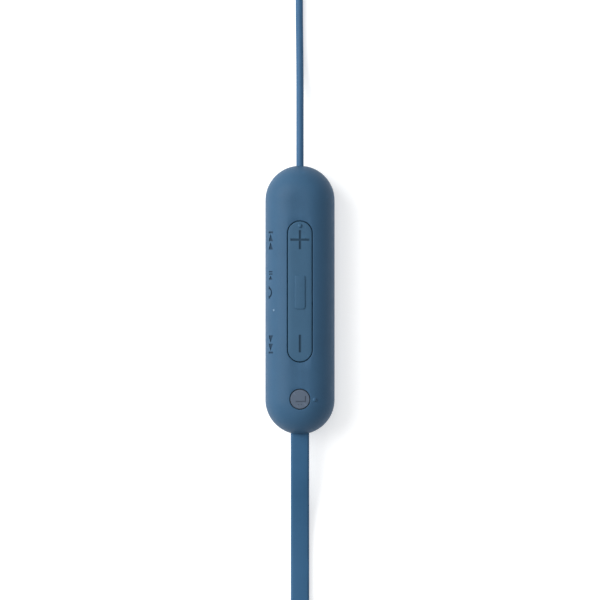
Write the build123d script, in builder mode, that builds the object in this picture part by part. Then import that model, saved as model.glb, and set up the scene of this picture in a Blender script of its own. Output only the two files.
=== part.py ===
"""Neckband earphones: a control pod between a thin ear lead and a flat neck cord.

The set lies on its back on a flat surface, z = 0. The origin is the centre of the control
pod's flat back, +Y runs along the pod towards the ear lead, and +Z is up, out of the keys.
"""

from build123d import *
from math import asin, cos, radians, sin, tan
import os

# ---- pods: an oval section run along Y and turned round at both ends ----
POD_WIDTH = 15.0
POD_LENGTH = 58.2
UPPER_RADIUS = 6.0
LOWER_RADIUS = 5.0
WALL = 1.0
SEAM = 0.1
PART_Z = LOWER_RADIUS
TOP_Z = LOWER_RADIUS + UPPER_RADIUS
HALF_WIDTH = POD_WIDTH / 2
UPPER_FLAT = HALF_WIDTH - UPPER_RADIUS
LOWER_FLAT = HALF_WIDTH - LOWER_RADIUS
END_Y = POD_LENGTH / 2 - HALF_WIDTH
LIP_THICKNESS = 0.5
LIP_HEIGHT = 0.7
LIP_CLEARANCE = 0.06

# ---- keys ----
KEY_Y = 1.83
KEY_WINDOW = (30.6, 5.54)
KEY_GAP = 0.2
KEY_SIZE = (KEY_WINDOW[0] - 2 * KEY_GAP, KEY_WINDOW[1] - 2 * KEY_GAP)
KEY_THICKNESS = 1.1
KEY_SKIRT_WALL = 0.45
KEY_SKIRT_DEPTH = 0.6
KEY_FLANGE_REACH = 0.6
KEY_FLANGE_THICKNESS = 0.3
SYMBOL_DEPTH = 0.16
PLUS_Y = 13.0
PLUS_ARM = 4.1
STROKE = 0.5
MINUS_Y = -9.4
MINUS_LENGTH = 3.8
BAR = (2.2, 7.3)
BAR_Y = 1.7
BAR_HEIGHT = 0.22
KEY_DOT_Y = 16.0
DOT_RADIUS = 0.56
DOT_RISE = 0.32
PLUNGER_RADIUS = 0.9
PLUNGER_BOTTOM = 8.2
PIVOT_RADIUS = 0.8
PIVOT_LENGTH = 4.0
PIVOT_GAP = 0.02
POWER_Y = -21.4
POWER_WINDOW_RADIUS = 2.25
POWER_RADIUS = 1.98
POWER_THICKNESS = 1.15
POWER_FLANGE_RADIUS = 2.6
KEY_TRAVEL = 0.25
POWER_RECESS = 0.03
POWER_FLANGE_THICKNESS = 0.5
POWER_MARK_DEPTH = 0.06
POWER_MARK_STROKE = 0.26
POWER_MARK_SIZE = (2.3, 1.1)
POWER_MARK_FOOT = (0.2, POWER_Y - 0.5)
POWER_MARK_UPRIGHT = (1.2, POWER_Y + 0.15)
POWER_DOT = (3.2, -21.5)
KEY_EDGE = 0.12
BAR_CORNER = 0.5

# ---- flank symbols and indicator, on the left side of the front shell ----
FLANK_X = -6.35
FLANK_DEPTH = 0.16
LENS_X = -5.7
LENS_Y = -2.2
LENS_RADIUS = 0.3
LENS_LENGTH = 2.0
SKIP_SYMBOLS = [(12.85, 1), (-9.6, -1)]
PLAY_SYMBOL_Y = 5.3
CALL_SYMBOL_Y = 1.6

# ---- boards and parts on them ----
BOARD_BOTTOM = 5.3
BOARD_THICKNESS = 0.8
BOARD_SIZE = (10.0, 50.0)
BOARD_CORNER = 4.0
BOARD_TOP = BOARD_BOTTOM + BOARD_THICKNESS
SWITCH_SIZE = (3.0, 2.6, 1.1)
SWITCH_CORNER = 0.3
SWITCH_TOP = BOARD_TOP + SWITCH_SIZE[2]
STEM_RADIUS = 0.75
STEM_RISE = 0.4
STEM_DEPTH = 0.45
STEM_CLEARANCE = 0.08
SCREW_PLACES = [(-3.2, 12.0), (3.2, -14.0)]
SCREW_RADIUS = 0.7
SCREW_GAP = 0.03
SCREW_HEAD_RADIUS = 1.25
SCREW_HEAD_HEIGHT = 0.6
SCREW_LENGTH = 3.2
SCREW_CROSS = 1.5
SCREW_CROSS_WIDTH = 0.3
BOSS_RADIUS = 1.5
CAN_SIZE = (4.8, 4.8, 1.1)
RADIO_PLACE = (-2.2, 7.6)
CAN_WALL = 0.15
WIRE_RADIUS = 0.25
MIC_PLACE = (3.4, 18.0)
MIC_SIZE = (3.0, 2.2, 1.0)
MIC_PORT_RADIUS = 0.4
SLEEVE_BOTTOM = 1.65

# ---- USB-C socket and its cover, in the right flank under the seam ----
USB_OUTER = (8.94, 3.26)
USB_INNER = (8.34, 2.56)
USB_CORNER_TRIM = 0.1
USB_DEPTH = 7.3
USB_BACK = 0.6
USB_MOUTH_X = 5.3
USB_Z = BOARD_BOTTOM - USB_OUTER[1] / 2
TONGUE = (4.5, 6.7, 0.7)
COVER_HALF = 5.4
COVER_BOTTOM = 1.7
COVER_THICKNESS = 0.8
COVER_GAP = 0.12
PLUG_SIZE = (7.2, 2.0)
PLUG_START_X = 4.5
PLUG_END_X = 6.8
POD_INSET_X = 4.0

# ---- cords ----
THIN = 1.6
FLAT_WIDTH = 4.0
FLAT_THICKNESS = 1.5
FLAT_EDGE = 0.55
REST_GAP = 0.05
THIN_REST_Z = THIN / 2 + REST_GAP
FLAT_REST_Z = FLAT_THICKNESS / 2 + REST_GAP
EDGE_REST_Z = FLAT_WIDTH / 2 + REST_GAP
HOLE_CLEARANCE = 0.15
THIN_START_Y = 27.1
FLAT_START_Y = 26.6
GROMMET_THICKNESS = 1.4
GROMMET_RADIUS = 1.8
GROMMET_SIZE = (6.0, 3.0)

# ---- ear lead: out of the pod, down to the surface, into a coil of four turns ----
THIN_RUN = [
    (0.0, THIN_START_Y, PART_Z),
    (0.0, 37.0, PART_Z),
    (0.0, 50.0, THIN_REST_Z),
    (-0.2, 66.0, THIN_REST_Z),
    (0.0, 79.5, THIN_REST_Z),
]
COIL_PITCH = 1.65
COIL_OUTER = 9.6
COIL_INNER = COIL_OUTER - COIL_PITCH
COIL_CENTRE = (COIL_OUTER, 79.5)
COIL_TOP_Z = THIN_REST_Z + COIL_PITCH
THIN_LEAD = [
    (0.0, 79.5, COIL_TOP_Z),
    (0.0, 84.5, 2.9),
    (1.2, 89.0, 5.85),
    (1.2, 93.5, 5.85),
]

# ---- neck cord: flat out of the pod, then on its edge in one long loop round the battery pod ----
FLAT_RUN = [
    (0.0, -FLAT_START_Y, PART_Z),
    (0.0, -36.0, PART_Z),
    (0.0, -48.0, FLAT_REST_Z),
    (0.0, -66.0, FLAT_REST_Z),
]
# stations of the turn onto its edge: y, height and angle in degrees
TWIST_STATIONS = [
    (-66.0, FLAT_REST_Z, 0),
    (-70.5, 1.1, 8),
    (-75.0, 1.87, 38),
    (-79.0, 2.2, 67),
    (-84.0, EDGE_REST_Z, 90),
]
LOOP_RUN = [
    (0.0, -84.0),
    (0.0, -93.0),
    (-6.5, -102.5),
    (-6.65, -121.0),
    (-6.75, -147.0),
    (-6.7, -170.0),
    (-6.6, -190.0),
    (-6.5, -207.3),
    (1.1, -214.9),
    (11.6, -214.9),
    (19.2, -207.3),
    (19.3, -188.0),
    (19.35, -160.0),
    (19.3, -136.0),
    (19.25, -118.0),
    (19.2, -102.6),
    (12.2, -95.4),
    (3.2, -95.6),
    (-4.55, -104.0),
    (-4.6, -114.5),
    (5.6, -125.0),
    (5.6, -134.8),
]
BATTERY_POD = (5.6, -181.1)
# stations of the turn back to flat, on the way up into the battery pod
RISE_STATIONS = [
    (-134.8, EDGE_REST_Z, 90),
    (-138.5, 2.45, 71),
    (-145.0, 4.2, 19),
    (-150.5, PART_Z, 0),
    (-154.5, PART_Z, 0),
]
CLIP_Y = -109.9
CLIP_LENGTH = 3.0
CLIP_WALL = 0.45
CLIP_GAP = 0.24

# ---- earbud: its axis lies along +X, and the lead comes in from -Y ----
BUD = (3.0, 105.5, 5.85)
BUD_RADIUS = 5.7
BUD_WALL = 0.8
BUD_BACK = -5.4
BUD_BACK_FLAT = 3.2
BUD_BACK_ROUND = 2.5
BUD_SPLIT = 0.05
NOZZLE_RADIUS = 2.6
NOZZLE_BORE = 1.9
NOZZLE_END = 10.2
BARB_RADIUS = 2.75
BARB_LENGTH = 1.0
BARB_STEP = 0.3
TIP_BORE = 2.82
TIP_STOP_GAP = 0.2
TIP_RADIUS = 5.8
TIP_BACK = 5.3
TIP_FRONT = 11.4
BOOT_U = -1.8
BOOT_TIP = 12.0
BOOT_BASE_RADIUS = 1.9
BOOT_TIP_RADIUS = 1.15

# ---- battery pod contents ----
CELL_SIZE = (10.0, 38.0, 6.0)
CELL_BOTTOM = 2.0
FOAM_SIZE = (5.0, 30.0, 0.85)
PROTECTION_SIZE = (7.0, 4.0, 0.8)
PROTECTION_Y = 21.6
PROTECTION_PITCH = (2.4, 1.6)
PROTECTION_CHIP = (1.4, 0.9, 0.6)
CELL_EDGE = 1.0


def half_section(inset):
    """One side of the pod's section as a face, x from 0 and y as the height."""
    upper = UPPER_RADIUS - inset
    lower = LOWER_RADIUS - inset
    with BuildSketch() as section:
        with BuildLine():
            Line((0, PART_Z - lower), (LOWER_FLAT, PART_Z - lower))
            CenterArc((LOWER_FLAT, PART_Z), lower, 270, 90)
            CenterArc((UPPER_FLAT, PART_Z), upper, 0, 90)
            Line((UPPER_FLAT, PART_Z + upper), (0, PART_Z + upper))
            Line((0, PART_Z + upper), (0, PART_Z - lower))
        make_face()
    return section.sketch


def pod_solid(inset=0.0):
    """The pod's closed shape about the origin, every face moved in by inset."""
    with BuildPart() as solid:
        with BuildSketch(Plane.XZ):
            add(half_section(inset))
            mirror(about=Plane.YZ)
        extrude(amount=-END_Y)
        with BuildSketch(Plane.XZ.offset(-END_Y)):
            add(half_section(inset))
        revolve(axis=Axis((0, END_Y, 0), (0, 0, 1)), revolution_arc=180)
        mirror(about=Plane.XZ)
    return solid.part


POD_OUTER = pod_solid()
POD_INNER = pod_solid(WALL)


def cord_holes(flat_end, thin_end):
    """Cuts the openings for the flat cord and the thin cord, through both ends of a pod."""
    with BuildSketch(Plane.XZ.offset(-flat_end * (END_Y + 2))) as flat_slot:
        with Locations((0, PART_Z)):
            RectangleRounded(
                FLAT_WIDTH + 2 * HOLE_CLEARANCE, FLAT_THICKNESS + 2 * HOLE_CLEARANCE, FLAT_EDGE
            )
    extrude(flat_slot.sketch, amount=-flat_end * HALF_WIDTH, mode=Mode.SUBTRACT)
    with BuildSketch(Plane.XZ.offset(-thin_end * (END_Y + 2))) as thin_hole:
        with Locations((0, PART_Z)):
            Circle(THIN / 2 + HOLE_CLEARANCE)
    extrude(thin_hole.sketch, amount=-thin_end * HALF_WIDTH, mode=Mode.SUBTRACT)


def front_shell_body(flat_end, thin_end):
    """The upper half of a pod's casing, without its openings for keys."""
    add(POD_OUTER)
    add(POD_INNER, mode=Mode.SUBTRACT)
    split(bisect_by=Plane.XY.offset(PART_Z + SEAM / 2), keep=Keep.TOP)
    cord_holes(flat_end, thin_end)


def rear_shell_body(flat_end, thin_end):
    """The lower half of a pod's casing, with the lip that locates the front shell."""
    add(POD_OUTER)
    add(POD_INNER, mode=Mode.SUBTRACT)
    split(bisect_by=Plane.XY.offset(PART_Z - SEAM / 2), keep=Keep.BOTTOM)
    lip_width = 2 * (HALF_WIDTH - WALL - LIP_CLEARANCE)
    lip_length = lip_width + 2 * END_Y
    with BuildSketch(Plane.XY.offset(PART_Z - LIP_HEIGHT)) as lip:
        SlotOverall(lip_length, lip_width, rotation=90)
        SlotOverall(
            lip_length - 2 * LIP_THICKNESS,
            lip_width - 2 * LIP_THICKNESS,
            rotation=90,
            mode=Mode.SUBTRACT,
        )
    extrude(lip.sketch, amount=2 * LIP_HEIGHT)
    cord_holes(flat_end, thin_end)


def plain_front_shell():
    """The battery pod's front shell about the origin: its flat cord comes in at +Y."""
    with BuildPart() as shell:
        front_shell_body(flat_end=1, thin_end=-1)
    return shell.part


def plain_rear_shell():
    """The battery pod's rear shell about the origin."""
    with BuildPart() as shell:
        rear_shell_body(flat_end=1, thin_end=-1)
    return shell.part


def flank_plane(x, y):
    """A plane on the left flank's surface: its normal points out, its x runs along +Y."""
    turn = asin((-x - UPPER_FLAT) / UPPER_RADIUS)
    origin = (x, y, PART_Z + UPPER_RADIUS * cos(turn))
    return Plane(origin=origin, x_dir=(0, 1, 0), z_dir=(-sin(turn), 0, cos(turn)))


def skip_symbol(direction):
    """Two arrowheads and a bar, pointing along the plane's x or against it."""
    with BuildSketch() as symbol:
        for start in (-1.95, -0.15):
            with BuildLine():
                Polyline(
                    (direction * start, -0.8),
                    (direction * (start + 1.6), 0),
                    (direction * start, 0.8),
                    close=True,
                )
            make_face()
        with Locations((direction * 1.75, 0)):
            Rectangle(0.4, 1.6)
    return symbol.sketch


def play_symbol():
    """An arrowhead and two bars."""
    with BuildSketch() as symbol:
        with BuildLine():
            Polyline((-0.9, -0.65), (0.0, 0), (-0.9, 0.65), close=True)
        make_face()
        with Locations((0.3, 0), (0.8, 0)):
            Rectangle(0.25, 1.3)
    return symbol.sketch


def call_symbol():
    """A handset: a curved grip with a block at each end."""
    grip_x = cos(radians(20))
    grip_y = sin(radians(20))
    with BuildSketch() as symbol:
        with BuildLine():
            CenterArc((0, 0.7), 1.2, 200, 140)
            CenterArc((0, 0.7), 0.8, 200, 140)
            Line((-1.2 * grip_x, 0.7 - 1.2 * grip_y), (-0.8 * grip_x, 0.7 - 0.8 * grip_y))
            Line((1.2 * grip_x, 0.7 - 1.2 * grip_y), (0.8 * grip_x, 0.7 - 0.8 * grip_y))
        make_face()
        with Locations((-1.0, 0.45), (1.0, 0.45)):
            Rectangle(0.7, 0.5)
    return symbol.sketch


def save(shape, label):
    """Labels a finished piece and writes it to its own file."""
    shape.label = label
    export_step(shape, f"parts/{label}.step")


def arc_radii(points):
    """The radius of each corner of a cord's route, as large as its two runs allow."""
    radii = []
    for before, corner, after in zip(points, points[1:], points[2:]):
        arriving = Vector(*corner) - Vector(*before)
        leaving = Vector(*after) - Vector(*corner)
        turn = radians(arriving.get_angle(leaving))
        radii.append(0.45 * min(arriving.length, leaving.length) / tan(turn / 2))
    return radii


def tube(points, section):
    """Sweeps a section along straight runs joined by arcs, and prints the arcs and the length."""
    radii = arc_radii(points)
    with BuildPart() as solid:
        with BuildLine() as line:
            FilletPolyline(*points, radius=radii)
        path = line.wire()
        start = Plane(origin=path @ 0, x_dir=section_x(path % 0), z_dir=path % 0)
        with BuildSketch(start) as outline:
            section()
        sweep(path=path)
    share = solid.part.volume / (outline.sketch.area * path.length)
    print("tube length", round(path.length, 1), "volume share", round(share, 4))
    print("tube radii", [round(radius, 1) for radius in radii])
    return solid.part


def section_x(direction):
    """The level direction across a cord that runs along direction."""
    return Vector(0, 0, 1).cross(direction).normalized()


def round_section():
    Circle(THIN / 2)


def flat_section():
    RectangleRounded(FLAT_WIDTH, FLAT_THICKNESS, FLAT_EDGE)


def edge_section():
    RectangleRounded(FLAT_THICKNESS, FLAT_WIDTH, FLAT_EDGE)


def turning_cord(x, stations):
    """A flat cord along Y whose section turns from one station to the next."""
    faces = []
    for y, z, turn in stations:
        across = (cos(radians(turn)), 0, sin(radians(turn)))
        with BuildSketch(Plane(origin=(x, y, z), x_dir=across, z_dir=(0, -1, 0))) as station:
            Rectangle(FLAT_WIDTH, FLAT_THICKNESS)
        faces.append(station.sketch)
    loft(faces, ruled=True)


def switch_pocket(place):
    """Cuts the well that a switch's stem moves in."""
    with BuildSketch(Plane.XY.offset(SWITCH_TOP)) as pocket:
        with Locations(place):
            Circle(STEM_RADIUS + STEM_CLEARANCE)
    extrude(pocket.sketch, amount=-STEM_DEPTH - KEY_TRAVEL - SEAM, mode=Mode.SUBTRACT)


def switch_base(place):
    """A small push switch's body on the board."""
    with BuildSketch(Plane.XY.offset(BOARD_TOP)) as body:
        with Locations(place):
            RectangleRounded(SWITCH_SIZE[0], SWITCH_SIZE[1], SWITCH_CORNER)
    extrude(body.sketch, amount=SWITCH_SIZE[2])


def switch_stem(place):
    """The part of a switch that is pressed."""
    with BuildSketch(Plane.XY.offset(SWITCH_TOP - STEM_DEPTH)) as plunger:
        with Locations(place):
            Circle(STEM_RADIUS)
    extrude(plunger.sketch, amount=STEM_DEPTH + STEM_RISE)


os.makedirs("parts", exist_ok=True)

# ================= control pod: casing =================
with BuildPart() as control_front_shell:
    front_shell_body(flat_end=-1, thin_end=1)
    with BuildSketch(Plane.XY.offset(TOP_Z + 1)):
        with Locations((0, KEY_Y)):
            SlotOverall(KEY_WINDOW[0], KEY_WINDOW[1], rotation=90)
        with Locations((0, POWER_Y)):
            Circle(POWER_WINDOW_RADIUS)
    extrude(amount=-3 * WALL, mode=Mode.SUBTRACT)
    dot_turn = asin((POWER_DOT[0] - UPPER_FLAT) / UPPER_RADIUS)
    dot_depth = UPPER_RADIUS - DOT_RADIUS + DOT_RISE
    dot_x = UPPER_FLAT + dot_depth * sin(dot_turn)
    with Locations((dot_x, POWER_DOT[1], PART_Z + dot_depth * cos(dot_turn))):
        Sphere(DOT_RADIUS)
    for symbol_y, direction in SKIP_SYMBOLS:
        with BuildSketch(flank_plane(FLANK_X, symbol_y)):
            add(skip_symbol(direction))
        extrude(amount=-FLANK_DEPTH, mode=Mode.SUBTRACT)
    with BuildSketch(flank_plane(FLANK_X, PLAY_SYMBOL_Y)):
        add(play_symbol())
    extrude(amount=-FLANK_DEPTH, mode=Mode.SUBTRACT)
    with BuildSketch(flank_plane(FLANK_X, CALL_SYMBOL_Y)):
        add(call_symbol())
    extrude(amount=-FLANK_DEPTH, mode=Mode.SUBTRACT)
    with BuildSketch(flank_plane(LENS_X, LENS_Y)):
        Circle(LENS_RADIUS)
    extrude(amount=-2 * WALL, mode=Mode.SUBTRACT)
save(control_front_shell.part, "control_front_shell")

with BuildPart() as control_rear_shell:
    rear_shell_body(flat_end=-1, thin_end=1)
    window_height = PART_Z + LIP_HEIGHT - COVER_BOTTOM + COVER_GAP + SEAM
    with Locations((HALF_WIDTH, 0, COVER_BOTTOM - COVER_GAP + window_height / 2)):
        Box(2 * POD_INSET_X, 2 * (COVER_HALF + COVER_GAP), window_height, mode=Mode.SUBTRACT)
    with BuildSketch(Plane.XY.offset(WALL / 2)):
        with Locations(*SCREW_PLACES):
            Circle(BOSS_RADIUS)
    extrude(amount=BOARD_BOTTOM - WALL / 2)
    with BuildSketch(Plane.XY.offset(BOARD_BOTTOM)):
        with Locations(*SCREW_PLACES):
            Circle(SCREW_RADIUS + SCREW_GAP)
    extrude(amount=-SCREW_LENGTH, mode=Mode.SUBTRACT)
    with Locations((*MIC_PLACE, 0)):
        Cylinder(MIC_PORT_RADIUS, 4 * WALL, mode=Mode.SUBTRACT)
save(control_rear_shell.part, "control_rear_shell")

# ================= control pod: keys =================
with BuildPart() as key_plate:
    with BuildSketch(Plane.XY.offset(TOP_Z - KEY_THICKNESS)):
        with Locations((0, KEY_Y)):
            SlotOverall(KEY_SIZE[0], KEY_SIZE[1], rotation=90)
    extrude(amount=2 * KEY_THICKNESS)
    add(POD_OUTER, mode=Mode.INTERSECT)
    rim = key_plate.edges().filter_by_position(Axis.Z, TOP_Z - KEY_THICKNESS / 2, TOP_Z)
    fillet(rim.filter_by(lambda edge: abs(edge.center().X) > UPPER_FLAT or edge.length > 3), KEY_EDGE)
    with BuildSketch(Plane.XY.offset(TOP_Z - SYMBOL_DEPTH)):
        with Locations((0, PLUS_Y)):
            Rectangle(PLUS_ARM, STROKE)
            Rectangle(STROKE, PLUS_ARM)
        with Locations((0, MINUS_Y)):
            Rectangle(STROKE, MINUS_LENGTH)
    extrude(amount=WALL, mode=Mode.SUBTRACT)
    with BuildSketch(Plane.XY.offset(TOP_Z - KEY_THICKNESS / 2)):
        with Locations((0, BAR_Y)):
            RectangleRounded(BAR[0], BAR[1], BAR_CORNER)
    extrude(amount=KEY_THICKNESS / 2 + BAR_HEIGHT)
    fillet(key_plate.faces().sort_by(Axis.Z)[-1].edges(), BAR_HEIGHT / 2)
    with Locations((0, KEY_DOT_Y, TOP_Z + DOT_RISE - DOT_RADIUS)):
        Sphere(DOT_RADIUS)
    with BuildSketch(Plane.XY.offset(PLUNGER_BOTTOM)):
        with Locations((0, PLUS_Y), (0, MINUS_Y)):
            Circle(PLUNGER_RADIUS)
    extrude(amount=TOP_Z - KEY_THICKNESS / 2 - PLUNGER_BOTTOM)
    # The skirt reaches down past the casing's wall, and its flange keeps the key in.
    flange_top = TOP_Z - KEY_THICKNESS - KEY_SKIRT_DEPTH
    for top, depth, reach in [
        (TOP_Z - KEY_THICKNESS, KEY_SKIRT_DEPTH, 0),
        (flange_top, KEY_FLANGE_THICKNESS, KEY_FLANGE_REACH),
    ]:
        with BuildSketch(Plane.XY.offset(top)):
            with Locations((0, KEY_Y)):
                SlotOverall(KEY_SIZE[0] + 2 * reach, KEY_SIZE[1] + 2 * reach, rotation=90)
                SlotOverall(
                    KEY_SIZE[0] - 2 * KEY_SKIRT_WALL,
                    KEY_SIZE[1] - 2 * KEY_SKIRT_WALL,
                    rotation=90,
                    mode=Mode.SUBTRACT,
                )
        extrude(amount=-depth)
save(key_plate.part, "key_plate")

with BuildPart() as key_pivot:
    pivot_top = TOP_Z - KEY_THICKNESS - PIVOT_GAP
    pivot_z = pivot_top - PIVOT_RADIUS
    with BuildSketch(Plane.YZ.offset(-PIVOT_LENGTH / 2)):
        with Locations((KEY_Y, pivot_z)):
            Circle(PIVOT_RADIUS)
        with Locations((KEY_Y, (pivot_z + SWITCH_TOP + STEM_RISE) / 2)):
            Rectangle(2 * PIVOT_RADIUS, pivot_z - SWITCH_TOP - STEM_RISE)
    extrude(amount=PIVOT_LENGTH)
save(key_pivot.part, "key_pivot")
print("pivot axis z", pivot_z)

with BuildPart() as power_button:
    power_top = TOP_Z - POWER_RECESS
    with BuildSketch(Plane.XY.offset(power_top - POWER_THICKNESS)):
        with Locations((0, POWER_Y)):
            Circle(POWER_RADIUS)
    extrude(amount=POWER_THICKNESS)
    fillet(power_button.edges().sort_by(Axis.Z)[-1], KEY_EDGE)
    with BuildSketch(Plane.XY.offset(power_top)):
        with Locations(POWER_MARK_FOOT):
            Rectangle(POWER_MARK_SIZE[0], POWER_MARK_STROKE)
        with Locations(POWER_MARK_UPRIGHT):
            Rectangle(POWER_MARK_STROKE, POWER_MARK_SIZE[1])
    extrude(amount=-POWER_MARK_DEPTH, mode=Mode.SUBTRACT)
    with BuildSketch(Plane.XY.offset(power_top - POWER_THICKNESS)):
        with Locations((0, POWER_Y)):
            Circle(POWER_FLANGE_RADIUS)
    extrude(amount=-POWER_FLANGE_THICKNESS)
    with BuildSketch(Plane.XY.offset(SWITCH_TOP + STEM_RISE)):
        with Locations((0, POWER_Y)):
            Circle(PLUNGER_RADIUS)
    extrude(amount=power_top - POWER_THICKNESS - SWITCH_TOP - STEM_RISE)
save(power_button.part, "power_button")

with BuildPart() as indicator_lens:
    with BuildSketch(flank_plane(LENS_X, LENS_Y)):
        Circle(LENS_RADIUS)
    extrude(amount=-LENS_LENGTH)
save(indicator_lens.part, "indicator_lens")

# ================= control pod: board and what it carries =================
with BuildPart() as main_board:
    with BuildSketch(Plane.XY.offset(BOARD_BOTTOM)):
        RectangleRounded(*BOARD_SIZE, BOARD_CORNER)
        with Locations(*SCREW_PLACES):
            Circle(SCREW_RADIUS + 2 * SCREW_GAP, mode=Mode.SUBTRACT)
    extrude(amount=BOARD_THICKNESS)
save(main_board.part, "main_board")

for label, place in [("plus_switch", (0, PLUS_Y)), ("minus_switch", (0, MINUS_Y))]:
    with BuildPart() as whole_switch:
        switch_base(place)
        switch_stem(place)
    save(whole_switch.part, label)

for label, place in [("play_switch", (0, KEY_Y)), ("power_switch", (0, POWER_Y))]:
    with BuildPart() as base:
        switch_base(place)
        switch_pocket(place)
    save(base.part, label + "_base")
    with BuildPart() as stem:
        switch_stem(place)
    save(stem.part, label + "_stem")

BOARD_PARTS = {
    "radio_chip": [(RADIO_PLACE, (4.0, 4.0, 0.7))],
    "chip_antenna": [((0.0, 22.6), (6.0, 2.0, 1.1))],
    "indicator_led": [((-4.0, LENS_Y), (1.0, 0.8, 0.6))],
    "small_components": [
        ((2.6, 8.6), (1.0, 0.5, 0.5)),
        ((2.6, 6.9), (1.0, 0.5, 0.5)),
        ((2.8, -2.5), (1.6, 0.8, 0.7)),
        ((2.8, -5.0), (1.6, 0.8, 0.7)),
        ((-3.2, -12.2), (1.0, 0.5, 0.5)),
        ((-3.2, -13.6), (1.0, 0.5, 0.5)),
        ((3.0, 17.0), (1.0, 0.5, 0.5)),
        ((-3.0, 17.0), (1.6, 0.8, 0.7)),
    ],
    "power_chip": [((-0.6, -15.6), (3.0, 3.0, 0.8))],
}
for label, blocks in BOARD_PARTS.items():
    with BuildPart() as group:
        for (x, y), (across, along, high) in blocks:
            with Locations((x, y, BOARD_TOP + high / 2)):
                Box(across, along, high)
    save(group.part, label)

with BuildPart() as shield_can:
    with Locations((*RADIO_PLACE, BOARD_TOP + CAN_SIZE[2] / 2)):
        Box(*CAN_SIZE)
    fillet(shield_can.edges().filter_by(Axis.Z), CAN_WALL)
    with Locations((*RADIO_PLACE, BOARD_TOP + CAN_SIZE[2] / 2 - CAN_WALL)):
        Box(
            CAN_SIZE[0] - 2 * CAN_WALL,
            CAN_SIZE[1] - 2 * CAN_WALL,
            CAN_SIZE[2],
            mode=Mode.SUBTRACT,
        )
save(shield_can.part, "shield_can")

with BuildPart() as board_screws:
    with BuildSketch(Plane.XY.offset(BOARD_TOP)):
        with Locations(*SCREW_PLACES):
            Circle(SCREW_HEAD_RADIUS)
    extrude(amount=SCREW_HEAD_HEIGHT)
    with BuildSketch(Plane.XY.offset(BOARD_TOP)):
        with Locations(*SCREW_PLACES):
            Circle(SCREW_RADIUS)
    extrude(amount=-SCREW_LENGTH)
    with BuildSketch(Plane.XY.offset(BOARD_TOP + SCREW_HEAD_HEIGHT)):
        with Locations(*SCREW_PLACES):
            Rectangle(SCREW_CROSS, SCREW_CROSS_WIDTH)
            Rectangle(SCREW_CROSS_WIDTH, SCREW_CROSS)
    extrude(amount=-SCREW_HEAD_HEIGHT / 2, mode=Mode.SUBTRACT)
save(board_screws.part, "board_screws")

with BuildPart() as microphone:
    with Locations((*MIC_PLACE, BOARD_BOTTOM - MIC_SIZE[2] / 2)):
        Box(*MIC_SIZE)
    with Locations((*MIC_PLACE, BOARD_BOTTOM - MIC_SIZE[2])):
        Cylinder(MIC_PORT_RADIUS, MIC_SIZE[2], mode=Mode.SUBTRACT)
save(microphone.part, "microphone")

with BuildPart() as microphone_sleeve:
    sleeve_height = BOARD_BOTTOM - MIC_SIZE[2] - SLEEVE_BOTTOM
    with Locations((*MIC_PLACE, SLEEVE_BOTTOM + sleeve_height / 2)):
        Cylinder(MIC_SIZE[1] / 2, sleeve_height)
        Cylinder(MIC_PORT_RADIUS, sleeve_height, mode=Mode.SUBTRACT)
save(microphone_sleeve.part, "microphone_sleeve")

with BuildPart() as usb_shell:
    with BuildSketch(Plane.YZ.offset(USB_MOUTH_X)):
        with Locations((0, USB_Z)):
            RectangleRounded(*USB_OUTER, USB_OUTER[1] / 2 - USB_CORNER_TRIM)
    extrude(amount=-USB_DEPTH)
    with BuildSketch(Plane.YZ.offset(USB_MOUTH_X)):
        with Locations((0, USB_Z)):
            RectangleRounded(*USB_INNER, USB_INNER[1] / 2 - USB_CORNER_TRIM)
    extrude(amount=-USB_DEPTH + USB_BACK, mode=Mode.SUBTRACT)
save(usb_shell.part, "usb_shell")

with BuildPart() as usb_tongue:
    tongue_x = USB_MOUTH_X - USB_DEPTH + USB_BACK + TONGUE[0] / 2
    with Locations((tongue_x, 0, USB_Z)):
        Box(*TONGUE)
    fillet(usb_tongue.faces().sort_by(Axis.X)[-1].edges().filter_by(Axis.Y), TONGUE[2] / 3)
save(usb_tongue.part, "usb_tongue")

with BuildPart() as port_cover:
    add(POD_OUTER)
    add(pod_solid(COVER_THICKNESS), mode=Mode.SUBTRACT)
    cover_top = PART_Z - SEAM
    with Locations((HALF_WIDTH, 0, (COVER_BOTTOM + cover_top) / 2)):
        Box(2 * POD_INSET_X, 2 * COVER_HALF, cover_top - COVER_BOTTOM, mode=Mode.INTERSECT)
    with BuildSketch(Plane.YZ.offset(PLUG_START_X)):
        with Locations((0, USB_Z)):
            RectangleRounded(*PLUG_SIZE, PLUG_SIZE[1] / 3)
    extrude(amount=PLUG_END_X - PLUG_START_X)
save(port_cover.part, "port_cover")

# ================= grommets and lead wires =================
with BuildPart() as thin_grommet:
    with BuildSketch(Plane.XZ.offset(-THIN_START_Y)):
        with Locations((0, PART_Z)):
            Circle(GROMMET_RADIUS)
    extrude(amount=GROMMET_THICKNESS)
with BuildPart() as flat_grommet:
    with BuildSketch(Plane.XZ.offset(FLAT_START_Y)):
        with Locations((0, PART_Z)):
            RectangleRounded(*GROMMET_SIZE, GROMMET_SIZE[1] / 3)
    extrude(amount=-GROMMET_THICKNESS)
save(thin_grommet.part, "control_thin_grommet")
save(flat_grommet.part, "control_flat_grommet")

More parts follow.
